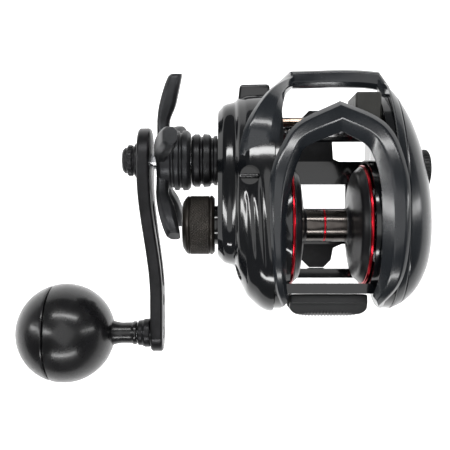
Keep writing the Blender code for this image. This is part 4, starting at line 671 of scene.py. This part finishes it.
def make_spool():
    """Spool in five turned pieces: the dished body, two red rims, and the arbor's band and ring."""
    low, high = span("spool")
    half = high[0]
    radius = (high[2] - low[2]) / 2
    bore, hub, web_x = 0.00175, 0.0034, 0.0091
    face = [(half - 0.0011, radius - 0.0004), (half - 0.0018, radius - 0.0012),
            (half - 0.0032, radius - 0.0024), (0.0089, 0.0150), (0.0080, 0.0100),
            (0.0078, 0.0066), (0.0070, 0.0054)]
    back = [(half, hub), (web_x, hub), (web_x, 0.0100), (0.0100, 0.0150),
            (half - 0.0001, radius - 0.0012)]
    right = [(half, bore), *back, *face]
    left = [(-x, r) for x, r in reversed(right)]
    profile = filleted(right + left, 0.0008, 5, closed=True)
    body = lathe("spool_body", profile, SPOOL_AXIS, SPOOL_BLACK, 128, closed=True)
    settle(body, "spool", "gloss_black", "spool")
    for side, name in ((1, "palm"), (-1, "gear")):
        rim = filleted([(half - 0.0011, radius - 0.0013), (half - 0.0010, radius - 0.0002),
                        (half - 0.0006, radius), (half - 0.0001, radius), (half, radius - 0.0002),
                        (half, radius - 0.0013)], 0.0002, 3, closed=True)
        rim[:, 0] *= side
        made = lathe(f"spool_rim_{name}", rim, SPOOL_AXIS, RED, 160, closed=True)
        settle(made, "spool", "spool_anodised")
    core, groove, arbor, proud = 0.0050, 0.0053, 0.00545, 0.00550
    arbor_half, near, far = 0.0069, -0.0009, -0.0003
    band = [(-arbor_half, core), (-arbor_half, arbor), (near - 0.0001, arbor),
            (near - 0.0001, groove), (near + 0.0001, groove), (far - 0.0001, groove),
            (far + 0.0001, arbor), (arbor_half, arbor), (arbor_half, core)]
    ring = [(near, core), (near, proud), (far, proud), (far, core)]
    for name, profile, finish in (("band", band, ARBOR), ("ring", ring, RED)):
        made = lathe(f"spool_arbor_{name}", filleted(profile, 0.0001, 3, closed=True), SPOOL_AXIS,
                     finish, 96, closed=True)
        settle(made, "spool", "spool_anodised")


# -------- handle

ARM_HUB = 0.0110                # radii of the arm's two ends
ARM_TIP = 0.0062
ARM_REACH = 0.0588
ARM_WAIST = 0.0014
ARM_X = -0.0606
ARM_HALF = 0.00208
ARM_STEP = 0.0041               # how far the arm steps in towards the body
ARM_STEP_SPAN = (0.0060, 0.0468)
ARM_EDGE = 0.0003
WINDOW_SPAN = (0.0165, 0.0400)
WINDOW_HALF = 0.0030
SMALL_HOLE = (0.0475, 0.0020)   # its reach from the drive axis and its radius
DRIVE_BORE = 0.00255
SPINDLE_BORE = 0.00215
CUTTER_SPAN = (-0.07, -0.05)    # well past both faces of the plate
BEND_CUTS = 26                  # cuts across the plate, which let it bend
BEND_START = 0.0040
BEND_PITCH = 0.0018


def ball_arc(centre, radius, start, end, count):
    """Arc of the knob's ball, as (x, radius) points between two angles from the axis."""
    turn = np.linspace(start, end, count)
    return np.stack([centre + radius * np.cos(turn), radius * np.sin(turn)], -1)


def make_handle_knob():
    """Ball knob, an arc turned about its spindle, with a slim flared neck and a collar ring, and an
    end cap set off by a fine seam."""
    low, high = span("handle_knob")
    cap_low, cap_high = span("knob_cap")
    radius = (high[2] - low[2]) / 2
    centre = cap_low[0] + radius
    seam = low[0]
    bore, stem, seat, seat_x, lip = 0.0024, 0.0040, 0.0042, -0.0840, 0.0002
    ball = ball_arc(centre, radius, math.asin((stem + 0.0003) / radius),
                    math.acos((seam - centre) / radius), 60)
    ball[-1] += [lip, -lip]
    neck = filleted([(high[0], bore), (high[0], stem), (high[0] - 0.0012, stem),
                     (high[0] - 0.0016, 0.0036), (-0.0688, 0.0035),
                     (ball[0, 0] + 0.0008, 0.0039)], 0.0007, 6)
    inner = [(seam, ball[-1, 1] - lip), (seam, seat), (seat_x, seat), (seat_x, bore)]
    knob = lathe("knob_ball", np.concatenate([neck, ball, inner]), KNOB_AXIS, KNOB, 192, closed=True)
    settle(knob, "knob", "knob_black", "handle_knob")
    cap = ball_arc(centre, radius, math.acos((cap_high[0] - centre) / radius), math.pi, 40)
    cap[0] -= lip
    cap[-1, 1] = 0.0
    face = [(cap_high[0], 0.0), (cap_high[0], cap[0, 1] - lip)]
    made = lathe("knob_end_cap", np.concatenate([face, cap]), KNOB_AXIS, KNOB, 192)
    settle(made, "knob", "knob_black", "knob_cap")


def arm_outline(count=40):
    """Outline of the handle arm in (y, z): round ends joined by flanks that narrow evenly towards
    the knob, drawn in by a half sine wave."""
    reach = np.linspace(0.0, ARM_REACH, count)
    share = reach / ARM_REACH
    half = ARM_HUB + (ARM_TIP - ARM_HUB) * share - ARM_WAIST * np.sin(math.pi * share)
    turn = np.linspace(-math.pi / 2, 0, 24, endpoint=False)
    near = ARM_HUB * np.stack([np.sin(turn), np.cos(turn)], -1)
    turn = np.linspace(0, math.pi / 2, 20)[1:]
    far = np.stack([ARM_REACH + ARM_TIP * np.sin(turn), ARM_TIP * np.cos(turn)], -1)
    upper = np.concatenate([near, np.stack([reach, half], -1), far])
    lower = upper[::-1] * [1, -1]
    whole = np.concatenate([upper, lower[1:-1]])
    return np.stack([DRIVE_AXIS[0] - whole[:, 0], DRIVE_AXIS[1] + whole[:, 1]], -1)


def arm_shift(y):
    """How far the arm has stepped in towards the body at a place along it: a smooth rise."""
    return ARM_STEP * smoothstep(*ARM_STEP_SPAN, DRIVE_AXIS[0] - y)


def make_handle_arm():
    """Cranked arm: a rounded plate with its windows cut through, then bent in towards the body."""
    plate = prism("handle_arm_plate", arm_outline(), ARM_X - ARM_HALF, ARM_X + ARM_HALF, SATIN,
                  edge=0.0009, steps=5)
    near, far = (DRIVE_AXIS[0] - reach for reach in WINDOW_SPAN)
    turn = np.linspace(0, math.pi, 17)
    across, along = WINDOW_HALF * np.cos(turn), WINDOW_HALF * np.sin(turn)
    window = np.concatenate([np.stack([near + along, DRIVE_AXIS[1] - across], -1),
                             np.stack([far - along, DRIVE_AXIS[1] + across], -1)])
    hole_reach, hole_radius = SMALL_HOLE
    outlines = [window, round_outline(hole_radius, (DRIVE_AXIS[0] - hole_reach, DRIVE_AXIS[1]), 40),
                round_outline(DRIVE_BORE, DRIVE_AXIS, 40),
                round_outline(SPINDLE_BORE, KNOB_AXIS, 40)]
    carve(plate, [prism("opening", outline, *CUTTER_SPAN, None) for outline in outlines])
    mesh = plate.data
    form = bmesh.new()
    form.from_mesh(mesh)
    for step in range(BEND_CUTS):
        at = DRIVE_AXIS[0] - BEND_START - BEND_PITCH * step
        bmesh.ops.bisect_plane(form, geom=form.verts[:] + form.edges[:] + form.faces[:],
                               plane_co=(0.0, at, 0.0), plane_no=(0.0, 1.0, 0.0))
    form.to_mesh(mesh)
    form.free()
    points = np.empty(len(mesh.vertices) * 3)
    mesh.vertices.foreach_get("co", points)
    points = points.reshape(-1, 3)
    points[:, 0] += arm_shift(points[:, 1])
    mesh.vertices.foreach_set("co", points.ravel())
    mesh.update()
    shade(mesh, 30)
    ease(plate, ARM_EDGE, 40)
    settle(plate, "crank", "satin_black", "handle_arm")


NUT_FLUTES = 18
NUT_FLUTE_DEPTH = 0.00022


def make_handle_nut():
    """Stepped and fluted nut on the handle."""
    low, high = span("handle_nut")
    top, bottom = high[0], low[0]

    def flutes(x, radius, angle):
        belt = (x < top - 0.0019) * (x > top - 0.0035)
        return -NUT_FLUTE_DEPTH * (np.cos(NUT_FLUTES * angle) > 0.2) * belt

    profile = filleted([
        (top, 0.0026), (top, 0.0058), (top - 0.0010, 0.0058), (top - 0.0012, 0.0050),
        (top - 0.0017, 0.0048), (top - 0.0020, 0.0053), (top - 0.0034, 0.0053),
        (top - 0.0037, 0.0044), (bottom + 0.0008, 0.0044), (bottom, 0.0036),
        (bottom, 0.0026)], 0.00025, 4, closed=True)
    nut = lathe("handle_cap_nut", profile, DRIVE_AXIS, SATIN, 96, closed=True, wave=flutes)
    settle(nut, "crank", "satin_black", "handle_nut")


def make_knob_collar():
    """Collar between the arm and the knob's neck, stepped down at the knob's side."""
    low, high = span("spindle_collar")
    profile = filleted([(high[0], 0.0022), (high[0], 0.0048), (low[0] + 0.0022, 0.0048),
                        (low[0] + 0.0016, 0.0043), (low[0], 0.0042), (low[0], 0.0022)],
                       0.0005, 5, closed=True)
    collar = lathe("knob_root_collar", profile, KNOB_AXIS, SATIN, 96, closed=True)
    settle(collar, "crank", "satin_black", "spindle_collar")


# -------- star drag

STAR_HUB_RADIUS = 0.0102
STAR_BORE = 0.0033
PADDLES = 5
FIRST_PADDLE = math.radians(8)
PADDLE_ROOT = 0.0022            # middle of a paddle's root from the hub's outer face
# reach from the axis, shift towards the body, half width and half thickness along a paddle
PADDLE_STATIONS = np.array([
    (0.0078, 0.0, 0.0032, 0.0020), (0.0105, 0.0, 0.0028, 0.0018), (0.0140, 0.0003, 0.0028, 0.0019),
    (0.0185, 0.0016, 0.0034, 0.0024), (0.0240, 0.0030, 0.0038, 0.0023),
    (0.0278, 0.0041, 0.0032, 0.0020), (0.0290, 0.0046, 0.0024, 0.0016)])
PADDLE_SWELL = 0.15             # extra share of thickness, all on the outer side


def make_star_hub(low, high):
    """Hub of the star wheel, turned with grooves and lands."""
    top, bottom, r = high[0], low[0], STAR_HUB_RADIUS
    steps = [(top, STAR_BORE), (top, r - 0.0010), (top - 0.0010, r), (top - 0.0026, r),
             (top - 0.0029, r - 0.0009), (top - 0.0036, r - 0.0009), (top - 0.0039, r - 0.0001),
             (top - 0.0054, r - 0.0001), (top - 0.0057, r - 0.0010), (top - 0.0064, r - 0.0010),
             (top - 0.0067, r - 0.0003), (bottom + 0.0014, r - 0.0006), (bottom, r - 0.0024),
             (bottom, STAR_BORE)]
    hub = lathe("star_hub", filleted(steps, 0.00022, 3, closed=True), DRIVE_AXIS, STAR, 128,
                closed=True)
    settle(hub, "star", "satin_black", "star_drag")


def make_star_drag():
    """Star wheel: a turned hub and five paddles. Each paddle is an eight-sided section carried out
    along smoothed stations, which lean in towards the body."""
    low, high = span("star_drag")
    make_star_hub(low, high)
    path = smooth_curve(PADDLE_STATIONS, 7)
    path[:, 1] += low[0] + PADDLE_ROOT
    reach, x, wide, thick = (path[:, i, None] for i in range(4))
    section = filleted([(-1.0, -0.5), (-0.6, -1.0), (0.6, -1.0), (1.0, -0.5), (1.0, 0.5),
                        (0.6, 1.0), (-0.6, 1.0), (-1.0, 0.5)], 0.16, 3, closed=True)
    axis = np.array([0.0, *DRIVE_AXIS])
    for index in range(PADDLES):
        angle = FIRST_PADDLE + TURN * index / PADDLES
        out = np.array([0.0, math.cos(angle), math.sin(angle)])
        side = np.array([0.0, -math.sin(angle), math.cos(angle)])
        middle = axis + out * reach[..., None]
        grid = middle + side * (wide * section[None, :, 0])[..., None]
        grid[..., 0] = x + thick * ((1 + PADDLE_SWELL) * section[None, :, 1] - PADDLE_SWELL)
        grid = np.clip(grid, low + 0.00001, high - 0.00001)
        paddle = solid(f"star_paddle_{index + 1}", grid, STAR, sharp=28)
        settle(paddle, "star", "satin_black")


# -------- cast control and housing

KNURL_LINES = 60
KNURL_DEPTH = 0.00030
CUP_BORE = 0.0069
CUP_FLOOR = 0.0052              # how far the cup's floor lies in from the knob's outer face


def make_tension_knob():
    """Cast control knob: a cup with a diamond knurl, the product of two crossed helical waves,
    between two plain chamfers."""
    low, high = span("tension_knob")
    top, bottom, r = high[0], low[0], (high[2] - low[2]) / 2
    belt_low, belt_high = bottom + 0.0026, top - 0.0018
    outer = respaced(filleted([
        (top, CUP_BORE), (top, r - 0.0010), (top - 0.0008, r - 0.0001),
        (belt_high + 0.0004, r - 0.0001), (belt_high + 0.0001, r - 0.0007), (belt_high, r - 0.0002),
        (belt_low, r - 0.0002), (belt_low - 0.0001, r - 0.0007), (belt_low - 0.0004, r - 0.0002),
        (bottom + 0.0014, r - 0.0006), (bottom + 0.0003, r - 0.0022), (bottom, r - 0.0034)],
        0.00015, 3), 0.00012)
    face = filleted([(bottom, r - 0.0034), (bottom + 0.0006, r - 0.0046), (bottom + 0.0006, 0.0)],
                    0.0003, 3)
    floor = [(bottom + CUP_FLOOR, 0.0), (bottom + CUP_FLOOR, CUP_BORE)]

    def knurl(x, radius, angle):
        start = smoothstep(belt_low, belt_low + 0.0003, x)
        belt = start * (1 - smoothstep(belt_high - 0.0003, belt_high, x)) * (radius > r - 0.0004)
        along = (x - belt_low) / r
        left, right = (np.abs(np.sin(KNURL_LINES / 2 * (angle + along * hand))) for hand in (1, -1))
        return KNURL_DEPTH * belt * (left * right - 1.0)

    knob = lathe("cast_control_knob", np.concatenate([floor, outer, face[1:]]), SPOOL_AXIS, KNURL,
                 360, caps=False, wave=knurl, sharp=50)
    settle(knob, "cast_control", "knurled_brown_black", "tension_knob")


def make_housing():
    """Housing of the one-way bearing: a stack of chamfered collars."""
    low, high = span("bearing_housing")
    bottom, r = low[0], (high[2] - low[2]) / 2
    bore, neck, lip, seam = 0.0066, 0.0074, 0.0048, -0.0361
    profile = filleted([
        (high[0], bore), (high[0], neck), (seam, neck), (seam, r - 0.0006),
        (seam - 0.0010, r - 0.0006), (seam - 0.0014, r - 0.0013), (seam - 0.0020, r - 0.0013),
        (seam - 0.0025, r - 0.0002), (seam - 0.0046, r), (seam - 0.0050, r - 0.0010),
        (seam - 0.0056, r - 0.0010), (seam - 0.0060, r - 0.0001), (bottom + 0.0009, r - 0.0001),
        (bottom, r - 0.0009), (bottom, lip), (bottom + 0.0008, lip),
        (bottom + 0.0008, bore)], 0.0002, 3, closed=True)
    housing = lathe("bearing_collar_stack", profile, DRIVE_AXIS, SATIN, 128, closed=True)
    settle(housing, "frame", "satin_black", "bearing_housing")


DIAL_TEETH = 36
DIAL_TOOTH_DEPTH = 0.00030


def make_brake_dial():
    """Brake dial: a cap with a serrated rim and a shallow dish in its face."""
    low, high = span("brake_dial")
    r = (high[2] - low[2]) / 2
    face = high[0]
    root_x, boss_x, rim_x, boss, stem = 0.0251, 0.0262, 0.0300, 0.0052, 0.0022
    profile = respaced(filleted([
        (root_x, 0.0), (root_x, boss), (boss_x, boss), (boss_x, stem), (rim_x, stem), (rim_x, r),
        (face - 0.0006, r), (face, r - 0.0006), (face, r - 0.0018), (face - 0.0005, r - 0.0025),
        (face - 0.0005, 0.0)], 0.0002, 3), 0.0006)

    def serration(x, radius, angle):
        rim = (x > 0.0302) * (radius > r - 0.0005)
        return -DIAL_TOOTH_DEPTH * (np.cos(DIAL_TEETH * angle) > 0) * rim

    dial = lathe("brake_dial_cap", profile, DIAL_AXIS, CHARCOAL, 12 * DIAL_TEETH, caps=False,
                 wave=serration, sharp=40)
    settle(dial, "brake_dial", "charcoal", "brake_dial")


# -------- thumb bar and worm

# side view of the thumb bar in (y, z): the lip at the top, the pad down the rear, and the inside
THUMB_SECTION = [
    (-0.0224, 0.0318), (-0.0224, 0.0345), (-0.0250, 0.03495), (-0.0256, 0.0344), (-0.0290, 0.0325),
    (-0.0302, 0.0285), (-0.0298, 0.0240), (-0.0282, 0.0205), (-0.0266, 0.0205), (-0.0276, 0.0245),
    (-0.0280, 0.0280), (-0.0270, 0.0305), (-0.0250, 0.0322)]
THUMB_MIDDLE = np.array([-0.0268, 0.0285])
PAD_HALF_WIDTH = 0.0112
PAD_HALF_HEIGHT = 0.0064
PAD_Z = 0.0272
RIB_PITCH = 0.00105
RIB_HEIGHT = 0.00042
TAB_HALF = 0.0015
TAB_PLACE = (-0.0243, 0.0290)
WEB_TOP = 0.0328


def make_thumb_tab(name, top, x_low, x_high):
    """Upright bar of the thumb bar's end, from the tab's foot to a given top."""
    y, z = TAB_PLACE
    outline = filleted([(y - TAB_HALF, z - TAB_HALF), (y + TAB_HALF, z - TAB_HALF),
                        (y + TAB_HALF, top), (y - TAB_HALF, top)], 0.0004, 3, closed=True)
    made = prism(name, outline, x_low, x_high, CHARCOAL, edge=0.0002)
    settle(made, "thumb_bar", "charcoal")


def make_thumb_bar():
    """Clutch bar: a side view carried across, drawn in at the ends along a superellipse and
    narrowed at the rear, with upright cosine ribs inside a superelliptic pad."""
    low, high = span("thumb_bar")
    half = high[0]
    loop = respaced(filleted(THUMB_SECTION, 0.0006, 4, closed=True), 0.0004, closed=True)
    x = np.linspace(-half, half, 420)
    end = np.clip(1 - (np.abs(x) / half) ** 7, 0.0, 1) ** (1 / 3)
    grid = np.empty((len(x), len(loop), 3))
    grid[..., 0] = x[:, None]
    grid[..., 1:] = THUMB_MIDDLE + (loop[None] - THUMB_MIDDLE) * (0.90 + 0.10 * end[:, None, None])
    y, z = grid[..., 1], grid[..., 2]
    grid[..., 0] *= 1 - 0.42 * np.clip((THUMB_MIDDLE[0] - y) / 0.0036, 0, 1) ** 2
    pad = (smoothstep(0.0206, 0.0216, z) * (1 - smoothstep(0.0330, 0.0336, z))
           * smoothstep(-0.0278, -0.0283, y))
    oval = smoothstep(1.0, 0.93, (np.abs(grid[..., 0]) / PAD_HALF_WIDTH) ** 2.6
                      + (np.abs(z - PAD_Z) / PAD_HALF_HEIGHT) ** 2.6)
    rib = 0.5 + 0.5 * np.cos(TURN * grid[..., 0] / RIB_PITCH)
    grid[..., 1] += RIB_HEIGHT * pad * oval * rib
    bar = solid("thumb_bar_pad", grid, CHARCOAL, sharp=35)
    settle(bar, "thumb_bar", "charcoal", "thumb_bar")
    make_thumb_tab("thumb_bar_tab", TAB_PLACE[1] + TAB_HALF, low[0], -half + 0.0010)
    make_thumb_tab("thumb_bar_web", WEB_TOP, -half, -half + 0.0012)


WORM_PITCH = 0.0045
WORM_THREADS = (-0.0140, 0.0152)
WORM_GROOVE_DEPTH = 0.0006


def make_worm():
    """Worm shaft with a crossed pair of helical grooves: the radius falls where the turn and the
    place along the shaft agree, for a left hand and a right hand helix."""
    low, high = span("worm_shaft")
    r = (high[2] - low[2]) / 2
    start, end = WORM_THREADS
    shoulder, tail = -0.0152, 0.0016
    profile = respaced(filleted([
        (high[0], 0.0), (high[0], r), (shoulder, r), (shoulder, tail), (low[0], tail),
        (low[0], 0.0)], 0.0001, 2), 0.00022)

    def grooves(x, radius, angle):
        inside = smoothstep(start, start + 0.0008, x) * (1 - smoothstep(end - 0.0008, end, x))
        depth = np.zeros_like(x)
        for hand in (1, -1):
            phase = (x / WORM_PITCH + hand * angle / TURN) % 1.0
            depth = np.maximum(depth, smoothstep(0.20, 0.10, np.abs(phase - 0.5)))
        return -WORM_GROOVE_DEPTH * depth * inside * (radius > r - 0.0003)

    worm = lathe("double_helix_worm", profile, WORM_AXIS, STEEL, 96, caps=False, wave=grooves, sharp=40)
    settle(worm, "worm", "bright_steel", "worm_shaft")


# -------- frame, foot and small pieces

def make_fine_copies():
    """The plates, foot, line guide and worm guard, with their edges rounded."""
    eased_copy("frame", "frame", "gloss_black", GLOSS, 0.00030)
    eased_copy("reel_foot", "frame", "satin_black", SATIN, 0.00035)
    eased_copy("worm_guard", "frame", "satin_black", GLOSS, 0.00012)
    eased_copy("line_guide", "line_guide", "olive_grey", OLIVE, 0.00060)


FINISH_OF_SLOT = {
    "gloss_black": GLOSS, "slate": SLATE, "satin_black": SATIN, "knob_black": KNOB,
    "knurled_brown_black": KNURL, "charcoal": CHARCOAL, "spool_anodised": RED,
    "olive_grey": OLIVE, "bronze": BRONZE, "brass": BRASS, "bright_steel": STEEL,
    "carbon": CARBON, "ceramic": CERAMIC,
}


def finish_nodes():
    """Give every node of the frame the finish of its slot."""
    slot_of = {part["node"]: part["material_slot"] for part in frame["record"]["subparts"]}
    for name, node in frame["nodes"].items():
        node.data.materials.clear()
        node.data.materials.append(FINISH_OF_SLOT[slot_of[name]])
        shade(node.data)


# -------- stage, light and camera

def glow(name, size, place, aim, power):
    """Soft rectangular light that faces a point."""
    light = bpy.data.lights.new(name, "AREA")
    light.shape = "RECTANGLE"
    light.size, light.size_y = size
    light.energy = power
    lamp = placed(name, light)
    lamp.location = place
    lamp.rotation_euler = (Vector(aim) - Vector(place)).to_track_quat("-Z", "Y").to_euler()
    return lamp


FLOOR_Z = -0.16
FLOOR_REACH = 3.0
CAMERA_LENS = 57.3
CAMERA_X = -0.0335
CAMERA_HEIGHT = 0.240           # above the spool's axis


def make_stage():
    """Pale floor well below the reel, overhead soft boxes and a dim surround."""
    centre = (cad_box[0] + cad_box[1]) / 2
    mesh = bpy.data.meshes.new("studio_floor")
    corners = [(-1, -1), (1, -1), (1, 1), (-1, 1)]
    mesh.from_pydata([(FLOOR_REACH * x, FLOOR_REACH * y, FLOOR_Z) for x, y in corners], [],
                     [(0, 1, 2, 3)])
    floor = placed("studio_floor", mesh)
    paper = bpy.data.materials.new("white_paper")
    paper.use_nodes = True
    set_inputs(paper.node_tree.nodes["Principled BSDF"], Base_Color=(0.9, 0.9, 0.9, 1.0),
               Roughness=0.9, Emission_Color=(1.0, 1.0, 1.0, 1.0), Emission_Strength=0.85)
    mesh.materials.append(paper)
    lamps = [
        glow("overhead_sheet", (0.50, 0.46), (-0.02, 0.02, 0.62), centre, 0.75),
        glow("front_strip", (0.50, 0.05), (-0.02, 0.33, 0.36), centre, 1.1),
        glow("rear_strip", (0.40, 0.05), (-0.04, -0.34, 0.34), centre, 0.8),
        glow("left_strip", (0.04, 0.44), (-0.40, 0.04, 0.30), centre, 0.7),
        glow("right_strip", (0.04, 0.40), (0.38, 0.05, 0.22), centre, 0.35),
    ]
    world = bpy.data.worlds.new("studio")
    bpy.context.scene.world = world
    world.use_nodes = True
    set_inputs(world.node_tree.nodes["Background"], Color=(1.0, 1.0, 1.0, 1.0), Strength=0.12)
    bpy.context.scene.view_settings.view_transform = "Standard"


def make_camera():
    """Camera straight above the spool, with the front of the reel at the top of the picture."""
    camera = bpy.data.cameras.new("plan_camera")
    camera.lens = CAMERA_LENS
    camera.clip_start = 0.01
    eye = placed("plan_camera", camera)
    eye.location = (CAMERA_X, 0.0, SPOOL_Z + CAMERA_HEIGHT)
    bpy.context.scene.camera = eye


def main():
    """Lay every surface over the frame, then light and frame the picture."""
    finish_nodes()
    make_gear_cover()
    make_palm_cover()
    make_hood()
    make_nose_bow()
    make_spool()
    make_handle_knob()
    make_handle_arm()
    make_handle_nut()
    make_knob_collar()
    make_star_drag()
    make_tension_knob()
    make_housing()
    make_brake_dial()
    make_thumb_bar()
    make_worm()
    make_fine_copies()
    make_stage()
    make_camera()


main()
